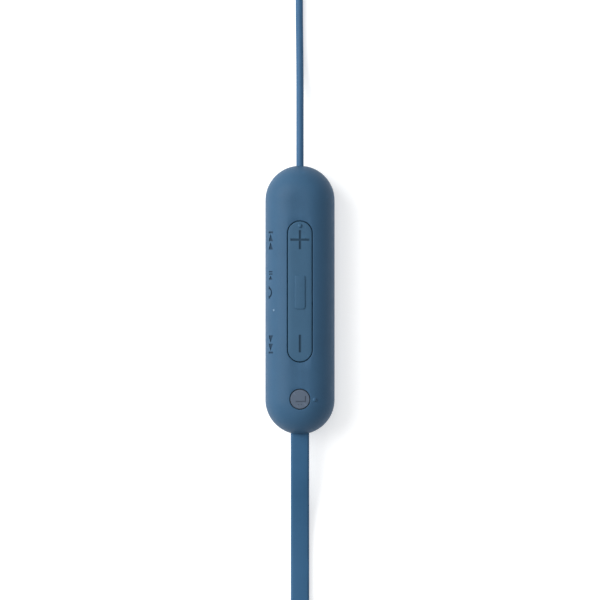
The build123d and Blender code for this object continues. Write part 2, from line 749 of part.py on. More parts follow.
with BuildPart() as lead_wires:
    wire_z = BOARD_BOTTOM + BOARD_THICKNESS / 2
    with BuildSketch(Plane.XZ.offset(-BOARD_SIZE[1] / 2)):
        with Locations((-0.7, wire_z), (0, wire_z), (0.7, wire_z)):
            Circle(WIRE_RADIUS)
    extrude(amount=-(THIN_START_Y - GROMMET_THICKNESS - BOARD_SIZE[1] / 2))
    with BuildSketch(Plane.XZ.offset(BOARD_SIZE[1] / 2)):
        with Locations((-1.4, wire_z), (-0.7, wire_z), (0, wire_z), (0.7, wire_z), (1.4, wire_z)):
            Circle(WIRE_RADIUS)
    extrude(amount=FLAT_START_Y - GROMMET_THICKNESS - BOARD_SIZE[1] / 2)
save(lead_wires.part, "lead_wires")

# ================= battery pod =================
with BuildPart() as battery_front_shell:
    with Locations(BATTERY_POD):
        add(plain_front_shell())
save(battery_front_shell.part, "battery_front_shell")

with BuildPart() as battery_rear_shell:
    with Locations(BATTERY_POD):
        add(plain_rear_shell())
save(battery_rear_shell.part, "battery_rear_shell")

with BuildPart() as battery_cell:
    with Locations((*BATTERY_POD, CELL_BOTTOM + CELL_SIZE[2] / 2)):
        Box(*CELL_SIZE)
    fillet(battery_cell.edges().filter_by(Axis.Y), CELL_EDGE)
save(battery_cell.part, "battery_cell")

with BuildPart() as foam_pad:
    with Locations((*BATTERY_POD, CELL_BOTTOM - SEAM / 2 - FOAM_SIZE[2] / 2)):
        Box(*FOAM_SIZE)
save(foam_pad.part, "foam_pad")

with BuildPart() as protection_board:
    with Locations((BATTERY_POD[0], BATTERY_POD[1] + PROTECTION_Y, PART_Z)):
        Box(*PROTECTION_SIZE)
    with Locations((BATTERY_POD[0], BATTERY_POD[1] + PROTECTION_Y, PART_Z + PROTECTION_SIZE[2] / 2)):
        with GridLocations(*PROTECTION_PITCH, 2, 2):
            Box(*PROTECTION_CHIP, align=(Align.CENTER, Align.CENTER, Align.MIN))
save(protection_board.part, "protection_board")

with BuildPart() as battery_flat_grommet:
    with Locations(BATTERY_POD):
        with Locations(Rotation(0, 0, 180)):
            add(flat_grommet.part)
save(battery_flat_grommet.part, "battery_flat_grommet")

with BuildPart() as battery_outlet_gland:
    with Locations(BATTERY_POD):
        with Locations(Rotation(0, 0, 180)):
            add(thin_grommet.part)
    gland_y = BATTERY_POD[1] - THIN_START_Y
    with BuildSketch(Plane.XZ.offset(-gland_y)):
        with Locations((BATTERY_POD[0], PART_Z)):
            Circle(THIN / 2)
    extrude(amount=-GROMMET_THICKNESS, mode=Mode.SUBTRACT)
save(battery_outlet_gland.part, "battery_outlet_gland")

# ================= earbud: round pieces turned about its axis =================
BUD_PLANE = Plane(origin=BUD, x_dir=(1, 0, 0), z_dir=(0, -1, 0))
BUD_AXIS = Axis(BUD, (1, 0, 0))


def turned(label, *points):
    """A closed outline of (along the axis, radius) turned about the earbud's axis."""
    with BuildPart() as piece:
        with BuildSketch(BUD_PLANE):
            with BuildLine():
                Polyline(*points, close=True)
            make_face()
        revolve(axis=BUD_AXIS)
    save(piece.part, label)


with BuildPart() as bud_rear_housing:
    with BuildSketch(BUD_PLANE):
        with BuildLine():
            Line((BUD_BACK, 0), (BUD_BACK, BUD_BACK_FLAT))
            CenterArc((BUD_BACK + BUD_BACK_ROUND, BUD_BACK_FLAT), BUD_BACK_ROUND, 90, 90)
            Line((BUD_BACK + BUD_BACK_ROUND, BUD_RADIUS), (-BUD_SPLIT, BUD_RADIUS))
            Line((-BUD_SPLIT, BUD_RADIUS), (-BUD_SPLIT, BUD_RADIUS - BUD_WALL))
            Line((-BUD_SPLIT, BUD_RADIUS - BUD_WALL), (BUD_BACK + BUD_BACK_ROUND, BUD_RADIUS - BUD_WALL))
            CenterArc(
                (BUD_BACK + BUD_BACK_ROUND, BUD_BACK_FLAT), BUD_BACK_ROUND - BUD_WALL, 90, 90
            )
            Line((BUD_BACK + BUD_WALL, BUD_BACK_FLAT), (BUD_BACK + BUD_WALL, 0))
            Line((BUD_BACK + BUD_WALL, 0), (BUD_BACK, 0))
        make_face()
    revolve(axis=BUD_AXIS)
save(bud_rear_housing.part, "bud_rear_housing")

with BuildPart() as bud_front_housing:
    with BuildSketch(BUD_PLANE):
        with BuildLine():
            Line((BUD_SPLIT, BUD_RADIUS), (1.0, BUD_RADIUS))
            TangentArc((1.0, BUD_RADIUS), (4.6, 2.6), tangent=(1, 0))
            Line((4.6, 2.6), (NOZZLE_END - BARB_LENGTH, NOZZLE_RADIUS))
            barb_start = NOZZLE_END - BARB_LENGTH
            Line((barb_start, NOZZLE_RADIUS), (barb_start + BARB_STEP, BARB_RADIUS))
            Line((NOZZLE_END - BARB_LENGTH + BARB_STEP, BARB_RADIUS), (NOZZLE_END, NOZZLE_RADIUS - 0.1))
            Line((NOZZLE_END, NOZZLE_RADIUS - 0.1), (NOZZLE_END, NOZZLE_BORE))
            Line((NOZZLE_END, NOZZLE_BORE), (4.2, NOZZLE_BORE))
            Line((4.2, NOZZLE_BORE), (1.2, BUD_RADIUS - BUD_WALL))
            Line((1.2, BUD_RADIUS - BUD_WALL), (BUD_SPLIT, BUD_RADIUS - BUD_WALL))
            Line((BUD_SPLIT, BUD_RADIUS - BUD_WALL), (BUD_SPLIT, BUD_RADIUS))
        make_face()
    revolve(axis=BUD_AXIS)
save(bud_front_housing.part, "bud_front_housing")

with BuildPart() as ear_tip:
    with BuildSketch(BUD_PLANE):
        with BuildLine():
            Line((TIP_BACK, TIP_BORE), (NOZZLE_END + TIP_STOP_GAP, TIP_BORE))
            Line((NOZZLE_END + TIP_STOP_GAP, TIP_BORE), (NOZZLE_END + TIP_STOP_GAP, NOZZLE_BORE))
            Line((NOZZLE_END + TIP_STOP_GAP, NOZZLE_BORE), (TIP_FRONT, NOZZLE_BORE))
            Line((TIP_FRONT, NOZZLE_BORE), (TIP_FRONT, 2.6))
            ThreePointArc((TIP_FRONT, 2.6), (9.3, 4.85), (TIP_BACK, TIP_RADIUS))
            Line((TIP_BACK, TIP_RADIUS), (TIP_BACK, TIP_RADIUS - 0.5))
            ThreePointArc((TIP_BACK, TIP_RADIUS - 0.5), (8.6, 4.6), (10.3, 3.5))
            Line((10.3, 3.5), (TIP_BACK, 3.4))
            Line((TIP_BACK, 3.4), (TIP_BACK, TIP_BORE))
        make_face()
    revolve(axis=BUD_AXIS)
save(ear_tip.part, "ear_tip")

turned("nozzle_mesh", (9.8, 0), (9.8, 1.88), (9.95, 1.88), (9.95, 0))
turned("driver_frame", (-1.6, 3.55), (-1.6, 4.85), (0.9, 4.85), (0.9, 4.45), (-1.2, 4.45), (-1.2, 3.55))
turned("driver_yoke", (-3.0, 0), (-3.0, 3.5), (-0.7, 3.5), (-0.7, 3.0), (-2.4, 3.0), (-2.4, 0))
turned("driver_magnet", (-2.4, 0), (-2.4, 2.45), (-0.8, 2.45), (-0.8, 0))
turned("voice_coil", (-1.9, 2.6), (-1.9, 2.85), (0.2, 2.85), (0.2, 2.6))
turned("diaphragm", (0.2, 0), (0.2, 4.4), (0.32, 4.4), (0.32, 0))

with BuildPart() as cable_boot:
    boot_plane = Plane(origin=(BUD[0] + BOOT_U, BUD[1], BUD[2]), x_dir=(1, 0, 0), z_dir=(0, 0, 1))
    with BuildSketch(boot_plane):
        with BuildLine():
            Polyline(
                (0, -BUD_RADIUS + BUD_WALL),
                (BOOT_BASE_RADIUS, -BUD_RADIUS + BUD_WALL),
                (BOOT_BASE_RADIUS, -BUD_RADIUS - 1.2),
                (BOOT_TIP_RADIUS, -BOOT_TIP),
                (0, -BOOT_TIP),
                close=True,
            )
        make_face()
    revolve(axis=Axis(boot_plane.origin, (0, 1, 0)))
    with Locations(Location(BUD, (0, 90, 0))):
        Cylinder(BUD_RADIUS, 4 * BUD_RADIUS, mode=Mode.SUBTRACT)
save(cable_boot.part, "cable_boot")

# ================= cords =================
save(tube(THIN_RUN, round_section), "thin_cord_run")
save(tube(THIN_LEAD, round_section), "thin_cord_lead")

with BuildPart() as thin_cord_coil:
    with BuildSketch(Plane.XY.offset(REST_GAP)):
        with Locations(COIL_CENTRE):
            Circle(COIL_OUTER + THIN / 2)
            Circle(COIL_INNER - THIN / 2, mode=Mode.SUBTRACT)
    extrude(amount=COIL_PITCH + THIN)
save(thin_cord_coil.part, "thin_cord_coil")

save(tube(FLAT_RUN, flat_section), "flat_cord_run")
save(tube([(x, y, EDGE_REST_Z) for x, y in LOOP_RUN], edge_section), "flat_cord_loop")

with BuildPart() as flat_cord_twist:
    turning_cord(0.0, TWIST_STATIONS)
save(flat_cord_twist.part, "flat_cord_twist")

with BuildPart() as flat_cord_rise:
    turning_cord(BATTERY_POD[0], RISE_STATIONS)
save(flat_cord_rise.part, "flat_cord_rise")

with BuildPart() as cord_clip:
    clip_low = LOOP_RUN[2][0] - FLAT_THICKNESS / 2 - CLIP_WALL - CLIP_GAP
    clip_high = LOOP_RUN[-4][0] + FLAT_THICKNESS / 2 + CLIP_WALL + CLIP_GAP
    clip_top = EDGE_REST_Z + FLAT_WIDTH / 2 + CLIP_GAP
    with Locations(((clip_low + clip_high) / 2, CLIP_Y, (clip_top + CLIP_WALL) / 2)):
        Box(clip_high - clip_low, CLIP_LENGTH, clip_top + CLIP_WALL)
    with Locations(((clip_low + clip_high) / 2, CLIP_Y, clip_top / 2)):
        Box(clip_high - clip_low - 2 * CLIP_WALL, CLIP_LENGTH, clip_top, mode=Mode.SUBTRACT)
save(cord_clip.part, "cord_clip")
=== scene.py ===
from math import asin, cos, hypot, pi, radians, sin, sqrt
import bmesh
import bpy
from mathutils import Matrix, Vector


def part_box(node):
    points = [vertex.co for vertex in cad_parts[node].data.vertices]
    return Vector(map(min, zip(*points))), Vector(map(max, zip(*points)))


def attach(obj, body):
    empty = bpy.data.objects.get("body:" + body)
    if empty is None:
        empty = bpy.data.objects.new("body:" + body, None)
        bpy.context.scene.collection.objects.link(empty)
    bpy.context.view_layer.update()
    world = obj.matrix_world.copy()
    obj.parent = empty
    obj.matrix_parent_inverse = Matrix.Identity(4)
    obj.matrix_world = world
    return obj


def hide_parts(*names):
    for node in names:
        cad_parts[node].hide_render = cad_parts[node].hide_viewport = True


# Neckband earphones, lying on their back on a pale floor at z = 0. Everything is in metres.
# The control pod's middle is at x = y = 0, +Y runs towards the ear lead and +Z is up.
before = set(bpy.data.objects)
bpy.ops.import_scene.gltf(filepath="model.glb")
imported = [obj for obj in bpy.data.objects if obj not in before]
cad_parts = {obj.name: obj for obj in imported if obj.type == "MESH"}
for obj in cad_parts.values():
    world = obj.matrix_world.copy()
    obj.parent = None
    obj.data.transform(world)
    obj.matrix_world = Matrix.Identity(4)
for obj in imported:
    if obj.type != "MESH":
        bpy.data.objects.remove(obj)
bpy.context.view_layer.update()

MM = 0.001
UP = Vector((0, 0, 1))

# ---- the pods' shape: an oval section run along Y and turned round at both ends ----
HALF_WIDTH = 7.5 * MM
UPPER_RADIUS = 6.0 * MM
LOWER_RADIUS = 5.0 * MM
WALL = 1.0 * MM
END_Y = 21.6 * MM
SEAM_Z = LOWER_RADIUS
TOP_Z = LOWER_RADIUS + UPPER_RADIUS
BATTERY_POD = (5.6 * MM, -181.1 * MM)
UPPER_FLAT = HALF_WIDTH - UPPER_RADIUS
LOWER_FLAT = HALF_WIDTH - LOWER_RADIUS
SEAM_HALF = 0.05 * MM
SEAM_ROUND = 0.12 * MM
LIP_PLAY = 0.06 * MM
LIP_THICKNESS = 0.5 * MM
LIP_HEIGHT = 0.65 * MM
ARC_STEPS = 30
END_STEPS = 48
SIDE_STEPS = 14

# ---- cords: the routes that part.py has ----
THIN = 1.6 * MM
FLAT_WIDTH = 4.0 * MM
FLAT_THICKNESS = 1.5 * MM
FLAT_EDGE = 0.55 * MM
THIN_RUN = [
    (0.0, 0.0271, 0.005),
    (0.0, 0.037, 0.005),
    (0.0, 0.050, 0.00085),
    (-0.0002, 0.066, 0.00085),
    (0.0, 0.0795, 0.00085),
]
THIN_LEAD = [
    (0.0, 0.0845, 0.0029),
    (0.0012, 0.089, 0.00585),
    (0.0012, 0.0935, 0.00585),
]
COIL_RADII = [9.6 * MM, 7.95 * MM, 7.95 * MM, 9.6 * MM]
COIL_HEIGHTS = [0.85 * MM, 0.85 * MM, 2.5 * MM, 2.5 * MM]
COIL_CENTRE = (0.0096, 0.0795)
COIL_POINTS = 16
COIL_SHIFT_START = 0.72
FLAT_RUN = [
    (0.0, -0.0266, 0.005),
    (0.0, -0.036, 0.005),
    (0.0, -0.048, 0.0008),
    (0.0, -0.066, 0.0008),
]
TWIST_RUN = [
    (0.0, -0.0705, 0.0011),
    (0.0, -0.075, 0.00187),
    (0.0, -0.079, 0.0022),
    (0.0, -0.084, 0.00205),
]
LOOP_Z = 0.00205
LOOP_RUN = [
    (0.0, -0.093),
    (-0.0065, -0.1025),
    (-0.00665, -0.121),
    (-0.00675, -0.147),
    (-0.0067, -0.170),
    (-0.0066, -0.190),
    (-0.0065, -0.2073),
    (0.0011, -0.2149),
    (0.0116, -0.2149),
    (0.0192, -0.2073),
    (0.0193, -0.188),
    (0.01935, -0.160),
    (0.0193, -0.136),
    (0.01925, -0.118),
    (0.0192, -0.1026),
    (0.0122, -0.0954),
    (0.0032, -0.0956),
    (-0.00455, -0.104),
    (-0.0046, -0.1145),
    (0.0056, -0.125),
    (0.0056, -0.1348),
]
RISE_RUN = [
    (0.0056, -0.1385, 0.00245),
    (0.0056, -0.145, 0.0042),
    (0.0056, -0.1505, 0.005),
    (0.0056, -0.1545, 0.005),
]

# ================= camera, lights and floor =================
VIEW_WIDTH = 0.1299
VIEW_LEVEL = 0.006
CAMERA_HEIGHT = 1.2
SENSOR = 36.0


def make_camera():
    """Straight down, from far enough away for the picture's long-lens look."""
    data = bpy.data.cameras.new("camera")
    data.sensor_width = SENSOR
    data.lens = SENSOR * CAMERA_HEIGHT / VIEW_WIDTH
    data.clip_start = 0.05
    camera = bpy.data.objects.new("camera", data)
    camera.location = (0, 0, CAMERA_HEIGHT + VIEW_LEVEL)
    bpy.context.scene.collection.objects.link(camera)
    bpy.context.scene.camera = camera


def area_light(name, place, target, size, power):
    """A soft box light at place, facing target."""
    data = bpy.data.lights.new(name, "AREA")
    data.shape = "RECTANGLE"
    data.size, data.size_y = size
    data.energy = power
    light = bpy.data.objects.new(name, data)
    light.location = place
    light.rotation_euler = (Vector(target) - Vector(place)).to_track_quat("-Z", "Y").to_euler()
    light.visible_camera = False
    bpy.context.scene.collection.objects.link(light)


def make_lights():
    """A window on the left, a weaker light overhead and a pale surround."""
    area_light("window_left", (-0.9, 0.38, 0.8), (0, 0, 0), (1.0, 1.0), 18.0)
    area_light("overhead", (-0.25, 0.3, 1.6), (0, 0, 0), (1.0, 1.0), 5.5)
    world = bpy.data.worlds.new("studio")
    world.use_nodes = True
    background = world.node_tree.nodes["Background"]
    background.inputs["Color"].default_value = (0.93, 0.96, 1.0, 1)
    background.inputs["Strength"].default_value = 0.28
    bpy.context.scene.world = world
    bpy.context.scene.view_settings.view_transform = "Standard"


FLOOR_GLOW = 0.56


def make_floor():
    """White paper, faintly lit from behind."""
    bm = bmesh.new()
    bmesh.ops.create_grid(bm, x_segments=8, y_segments=8, size=3.0)
    mesh = bpy.data.meshes.new("floor")
    bm.to_mesh(mesh)
    bm.free()
    floor = bpy.data.objects.new("floor", mesh)
    bpy.context.scene.collection.objects.link(floor)
    material = bpy.data.materials.new("floor_paper")
    material.use_nodes = True
    shader = material.node_tree.nodes["Principled BSDF"]
    shader.inputs["Base Color"].default_value = (0.72, 0.72, 0.72, 1)
    shader.inputs["Roughness"].default_value = 0.9
    shader.inputs["Specular IOR Level"].default_value = 0.1
    shader.inputs["Emission Color"].default_value = (1, 1, 1, 1)
    shader.inputs["Emission Strength"].default_value = FLOOR_GLOW
    mesh.materials.append(material)


# ================= materials =================
def node(tree, kind, **inputs):
    """Adds a node and sets its unlinked inputs."""
    made = tree.nodes.new(kind)
    for label, value in inputs.items():
        made.inputs[label.replace("_", " ")].default_value = value
    return made


def noise(tree, scale, detail=3.0, roughness=0.55):
    """Noise over the object's own coordinates, scale in features per metre."""
    place = node(tree, "ShaderNodeTexCoord")
    texture = node(tree, "ShaderNodeTexNoise", Scale=scale, Detail=detail, Roughness=roughness)
    tree.links.new(place.outputs["Object"], texture.inputs["Vector"])
    return texture.outputs["Fac"]


def spread(tree, source, low, high, source_low=0.3, source_high=0.7):
    """Maps source's middle range onto low to high."""
    remap = node(tree, "ShaderNodeMapRange")
    remap.inputs["From Min"].default_value = source_low
    remap.inputs["From Max"].default_value = source_high
    remap.inputs["To Min"].default_value = low
    remap.inputs["To Max"].default_value = high
    tree.links.new(source, remap.inputs["Value"])
    return remap.outputs["Result"]


def mix_colour(tree, share, first, second):
    """Mixes two colours, each a tuple or an output, by a linked share."""
    mixer = tree.nodes.new("ShaderNodeMix")
    mixer.data_type = "RGBA"
    tree.links.new(share, mixer.inputs["Factor"])
    for label, value in (("A", first), ("B", second)):
        socket = next(s for s in mixer.inputs if s.name == label and s.type == "RGBA")
        if isinstance(value, tuple):
            socket.default_value = (*value, 1)
        else:
            tree.links.new(value, socket)
    return next(s for s in mixer.outputs if s.type == "RGBA")


def shaded(colour, factor):
    """A colour made darker or lighter."""
    return tuple(min(1.0, channel * factor) for channel in colour)


def surface(
    name,
    colour,
    roughness,
    cloud=180.0,
    grain=5200.0,
    bump=0.012 * MM,
    contrast=0.07,
    wear=0.25,
    metallic=0.0,
    specular=0.12,
    sheen=0.0,
    coat=0.0,
):
    """A solid material: cloudy and grainy colour, uneven roughness, fine bump and paler worn edges."""
    material = bpy.data.materials.new(name)
    material.use_nodes = True
    tree = material.node_tree
    shader = tree.nodes["Principled BSDF"]
    clouds = spread(tree, noise(tree, cloud), 0, 1)
    base = mix_colour(tree, clouds, shaded(colour, 1 - contrast), shaded(colour, 1 + contrast))
    speckle = spread(tree, noise(tree, grain, detail=2.0), 0, 1)
    base = mix_colour(tree, speckle, base, shaded(colour, 1 + contrast / 2))
    geometry = tree.nodes.new("ShaderNodeNewGeometry")
    edges = spread(tree, geometry.outputs["Pointiness"], 0, wear, 0.53, 0.62)
    base = mix_colour(tree, edges, base, shaded(colour, 1.7))
    tree.links.new(base, shader.inputs["Base Color"])
    patches = spread(tree, noise(tree, cloud * 4), roughness - 0.05, roughness + 0.05)
    tree.links.new(patches, shader.inputs["Roughness"])
    height = node(tree, "ShaderNodeBump", Strength=0.6, Distance=bump)
    tree.links.new(noise(tree, grain, detail=4.0), height.inputs["Height"])
    tree.links.new(height.outputs["Normal"], shader.inputs["Normal"])
    shader.inputs["Metallic"].default_value = metallic
    shader.inputs["Specular IOR Level"].default_value = specular
    shader.inputs["Sheen Weight"].default_value = sheen
    shader.inputs["Coat Weight"].default_value = coat
    return material


SHELL_BLUE = (0.043, 0.106, 0.188)
KEY_BLUE = (0.046, 0.112, 0.190)
POWER_GREY = (0.098, 0.128, 0.176)
FLAT_CORD_BLUE = (0.037, 0.112, 0.215)
THIN_CORD_BLUE = (0.048, 0.125, 0.235)
RUBBER_BLUE = (0.040, 0.100, 0.175)

shell_plastic = surface("soft_touch_blue", SHELL_BLUE, 0.48, wear=0.08)
# Painted shade: the cut walls and floors of the flank symbols, the lens hole, the charging port and the
# microphone hole are coloured darker than the shell, standing in for the shade inside these recesses.
painted_recess_shade = surface("symbol_recess_painted_shade", shaded(SHELL_BLUE, 0.42), 0.6)
key_plastic = surface("key_blue", KEY_BLUE, 0.50)
# Painted shade: the plus and minus cut into the rocker are coloured darker than the key, standing in
# for the shade in their recesses.
key_mark_painted_shade = surface("key_mark_recess_painted_shade", shaded(KEY_BLUE, 0.5), 0.6)
power_plastic = surface("power_key_grey", POWER_GREY, 0.50)
# Painted shade: the power key's recessed mark is coloured darker than the key, standing in for the
# shade in its recess.
power_mark_painted_shade = surface("power_mark_recess_painted_shade", shaded(POWER_GREY, 0.62), 0.6)
flat_jacket = surface("flat_cord_jacket", FLAT_CORD_BLUE, 0.50, grain=3800.0, bump=0.02 * MM)
thin_jacket = surface("thin_cord_jacket", THIN_CORD_BLUE, 0.42, grain=3800.0, bump=0.015 * MM)
rubber = surface("moulded_rubber", RUBBER_BLUE, 0.62, sheen=0.08)
silicone = surface("ear_tip_silicone", shaded(RUBBER_BLUE, 1.15), 0.55, sheen=0.1, specular=0.4)
lens_plastic = surface("indicator_lens", (0.14, 0.24, 0.36), 0.3, contrast=0.03, wear=0.0)
inner_plastic = surface("inner_plastic", (0.03, 0.03, 0.035), 0.5)
chip_epoxy = surface("chip_epoxy", (0.025, 0.025, 0.027), 0.45, cloud=900.0)
plated_steel = surface("plated_steel", (0.24, 0.24, 0.24), 0.48, cloud=700.0, metallic=1.0)
magnet_plate = surface("magnet_plating", (0.60, 0.60, 0.63), 0.18, cloud=700.0, metallic=1.0)
copper = surface("enamelled_copper", (0.72, 0.34, 0.16), 0.35, cloud=900.0, metallic=1.0)
film = surface("film_and_foam", (0.30, 0.30, 0.32), 0.6, cloud=900.0, bump=0.03 * MM)
cell_wrap = surface("pouch_cell", (0.45, 0.46, 0.48), 0.4, cloud=300.0, metallic=0.6)


def circuit_board():
    """Green solder mask with paler straight traces under it."""
    material = surface("solder_mask", (0.015, 0.10, 0.05), 0.35, cloud=500.0, coat=0.3)
    tree = material.node_tree
    shader = tree.nodes["Principled BSDF"]
    base = shader.inputs["Base Color"].links[0].from_socket
    place = node(tree, "ShaderNodeTexCoord")
    traces = node(tree, "ShaderNodeTexBrick", Scale=420.0)
    tree.links.new(place.outputs["Object"], traces.inputs["Vector"])
    lines = mix_colour(tree, traces.outputs["Fac"], base, (0.03, 0.20, 0.09))
    tree.links.new(lines, shader.inputs["Base Color"])
    return material


def wire_cloth():
    """Fine steel mesh: two crossed sets of wires."""
    material = surface("nozzle_wire_cloth", (0.30, 0.31, 0.33), 0.35, metallic=1.0)
    tree = material.node_tree
    shader = tree.nodes["Principled BSDF"]
    base = shader.inputs["Base Color"].links[0].from_socket
    for direction in ("Y", "Z"):
        place = node(tree, "ShaderNodeTexCoord")
        wires = node(tree, "ShaderNodeTexWave", Scale=900.0)
        wires.bands_direction = direction
        tree.links.new(place.outputs["Object"], wires.inputs["Vector"])
        gaps = spread(tree, wires.outputs["Fac"], 0.85, 0.0, 0.2, 0.5)
        base = mix_colour(tree, gaps, base, (0.01, 0.01, 0.012))
    tree.links.new(base, shader.inputs["Base Color"])
    return material


board_mask = circuit_board()
nozzle_cloth = wire_cloth()


# ================= mesh tools =================
def make_object(bm, name, materials, body, replaced=(), angle=32.0):
    """Turns a bmesh into a smooth-shaded piece that rides on a body."""
    bmesh.ops.recalc_face_normals(bm, faces=bm.faces)
    mesh = bpy.data.meshes.new(name)
    bm.to_mesh(mesh)
    bm.free()
    piece = bpy.data.objects.new(name, mesh)
    bpy.context.scene.collection.objects.link(piece)
    for material in materials:
        mesh.materials.append(material)
    finish_shading(piece, angle)
    if body:
        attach(piece, body)
        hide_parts(*replaced)
    return piece


def finish_shading(piece, angle=32.0):
    """Smooth shading, with edges sharper than angle degrees kept crisp."""
    piece.data.polygons.foreach_set("use_smooth", [True] * len(piece.data.polygons))
    piece.data.set_sharp_from_angle(angle=radians(angle))


def pod_height(x, y):
    """The height of a pod's upper surface over a point of the plan, about the pod's middle."""
    reach = hypot(x, max(0.0, abs(y) - END_Y))
    if reach <= UPPER_FLAT:
        return TOP_Z
    return SEAM_Z + sqrt(max(0.0, UPPER_RADIUS ** 2 - (reach - UPPER_FLAT) ** 2))


def arc(centre, radius, start, end, steps=ARC_STEPS):
    """Points on an arc, in degrees, both ends included."""
    turns = [radians(start + (end - start) * step / steps) for step in range(steps + 1)]
    return [(centre[0] + radius * cos(turn), centre[1] + radius * sin(turn)) for turn in turns]


def slot_plan(half_line):
    """Directions and middles round a line along Y: right side, +Y end, left side, -Y end."""
    plan = []
    if half_line:
        for step in range(SIDE_STEPS):
            plan.append((1.0, 0.0, half_line * (2 * step / SIDE_STEPS - 1)))
    for step in range(END_STEPS):
        turn = pi * step / END_STEPS
        plan.append((cos(turn), sin(turn), half_line))
    plan += [(-across, -along, -middle) for across, along, middle in plan]
    return plan


def slot_solid(profile, half_line, centre=(0.0, 0.0), bm=None):
    """A closed solid round a line along Y. The profile is (radius, height) points that start and
    end at radius 0; a height given as ("on", h) is h above the pod's upper surface."""
    bm = bm or bmesh.new()
    plan = slot_plan(half_line)
    first = len(bm.verts)
    rings = []
    for radius, height in profile:
        ring = []
        for across, along, middle in plan:
            x = centre[0] + radius * across
            y = centre[1] + middle + radius * along
            z = pod_height(x, y) + height[1] if isinstance(height, tuple) else height
            ring.append(bm.verts.new((x, y, z)))
        rings.append(ring)
    count = len(plan)
    for upper, lower in zip(rings, rings[1:]):
        for index in range(count):
            after = (index + 1) % count
            bm.faces.new((upper[index], upper[after], lower[after], lower[index]))
    bm.verts.ensure_lookup_table()
    bmesh.ops.remove_doubles(bm, verts=bm.verts[first:], dist=1e-7)
    return bm


def prism(bm, outline, place, low, high):
    """Adds a closed prism of a flat outline, from low to high along place's own z."""
    floor = [bm.verts.new(place @ Vector((x, y, low))) for x, y in outline]
    roof = [bm.verts.new(place @ Vector((x, y, high))) for x, y in outline]
    bm.faces.new(floor)
    bm.faces.new(list(reversed(roof)))
    for index in range(len(outline)):
        after = (index + 1) % len(outline)
        bm.faces.new((floor[after], floor[index], roof[index], roof[after]))


def rounded_rectangle(width, height, corner, steps=6):
    """The outline of a rectangle with round corners about 0, 0."""
    x, y = width / 2 - corner, height / 2 - corner
    outline = arc((x, y), corner, 0, 90, steps)
    outline += arc((-x, y), corner, 90, 180, steps)
    outline += arc((-x, -y), corner, 180, 270, steps)
    outline += arc((x, -y), corner, 270, 360, steps)
    return outline


def rounded_block(bm, width, height, corner, place, low, high, edge, steps=4):
    """A round-cornered block whose top edge is rounded by edge; its base is at low."""
    rings = [(low, 0.0)]
    rings += [(high - edge + y, edge - x) for x, y in arc((0, 0), edge, 0, 90, steps)]
    levels = []
    for level, inset in rings:
        outline = rounded_rectangle(width - 2 * inset, height - 2 * inset, max(corner - inset, edge))
        levels.append([bm.verts.new(place @ Vector((x, y, level))) for x, y in outline])
    count = len(levels[0])
    for lower, upper in zip(levels, levels[1:]):
        for index in range(count):
            after = (index + 1) % count
            bm.faces.new((lower[index], lower[after], upper[after], upper[index]))
    bm.faces.new(list(reversed(levels[0])))
    bm.faces.new(levels[-1])


def combine(piece, tool_bm, operation, material=None):
    """Cuts a tool out of a piece, or joins it on, for good. The cut faces take the material."""
    bmesh.ops.recalc_face_normals(tool_bm, faces=tool_bm.faces)
    mesh = bpy.data.meshes.new("tool")
    tool_bm.to_mesh(mesh)
    tool_bm.free()
    mesh.materials.append(material or piece.data.materials[0])
    tool = bpy.data.objects.new("tool", mesh)
    bpy.context.scene.collection.objects.link(tool)
    modifier = piece.modifiers.new("combine", "BOOLEAN")
    modifier.operation = operation
    modifier.object = tool
    modifier.solver = "EXACT"
    modifier.use_self = True
    modifier.material_mode = "TRANSFER"
    bpy.context.view_layer.update()
    evaluated = piece.evaluated_get(bpy.context.evaluated_depsgraph_get())
    result = bpy.data.meshes.new_from_object(evaluated)
    piece.modifiers.remove(modifier)
    piece.data = result
    bpy.data.objects.remove(tool)


def window_cutter(bm, half_line, half_width, centre, rounding):
    """A tool for an opening through the pod's top, with a rounded rim that follows the surface."""
    profile = [(0, TOP_Z + WALL), (half_width + 1.5 * rounding, TOP_Z + WALL)]
    profile.append((half_width + 1.5 * rounding, ("on", 0.25 * rounding)))
    for step in range(1, 6):
        turn = radians(18 * step)
        profile.append(
            (half_width + rounding * (1 - sin(turn)), ("on", -rounding * (1 - cos(turn))))
        )
    profile.append((half_width, TOP_Z - 3 * WALL))
    profile.append((0, TOP_Z - 3 * WALL))
    slot_solid(profile, half_line, centre, bm)


FLAT_PLAY = 0.26 * MM
FLAT_CORNER = 0.6 * MM
THIN_PLAY = 0.12 * MM


def cord_hole_tools(bm, flat_end, thin_end, centre):
    """Tools for the two openings that a pod's cords pass through."""
    middle = Vector((centre[0], centre[1], SEAM_Z))
    for end, outline in (
        (flat_end, rounded_rectangle(FLAT_WIDTH + FLAT_PLAY, FLAT_THICKNESS + FLAT_PLAY, FLAT_CORNER)),
        (thin_end, arc((0, 0), THIN / 2 + THIN_PLAY, 0, 350, 35)),
    ):
        wall_middle = middle + Vector((0, end * (END_Y + HALF_WIDTH - WALL), 0))
        place = Matrix.Translation(wall_middle) @ Matrix.Rotation(radians(90), 4, "X")
        prism(bm, outline, place, -2 * WALL, 2 * WALL)


# ================= pod casings =================
def upper_profile():
    """The upper casing in section, from its outer top round the seam's edge to its inner top."""
    outer = [(x, z) for x, z in arc((UPPER_FLAT, SEAM_Z), UPPER_RADIUS, 90, 2.2)]
    edge = [
        (HALF_WIDTH, SEAM_Z + SEAM_HALF + SEAM_ROUND),
        (HALF_WIDTH - 0.3 * SEAM_ROUND, SEAM_Z + SEAM_HALF + 0.3 * SEAM_ROUND),
        (HALF_WIDTH - SEAM_ROUND, SEAM_Z + SEAM_HALF),
        (HALF_WIDTH - WALL, SEAM_Z + SEAM_HALF),
    ]
    inner = [(x, z) for x, z in arc((UPPER_FLAT, SEAM_Z), UPPER_RADIUS - WALL, 2, 90, 16)]
    return [(0, TOP_Z), (UPPER_FLAT / 2, TOP_Z), *outer, *edge, *inner, (0, TOP_Z - WALL)]


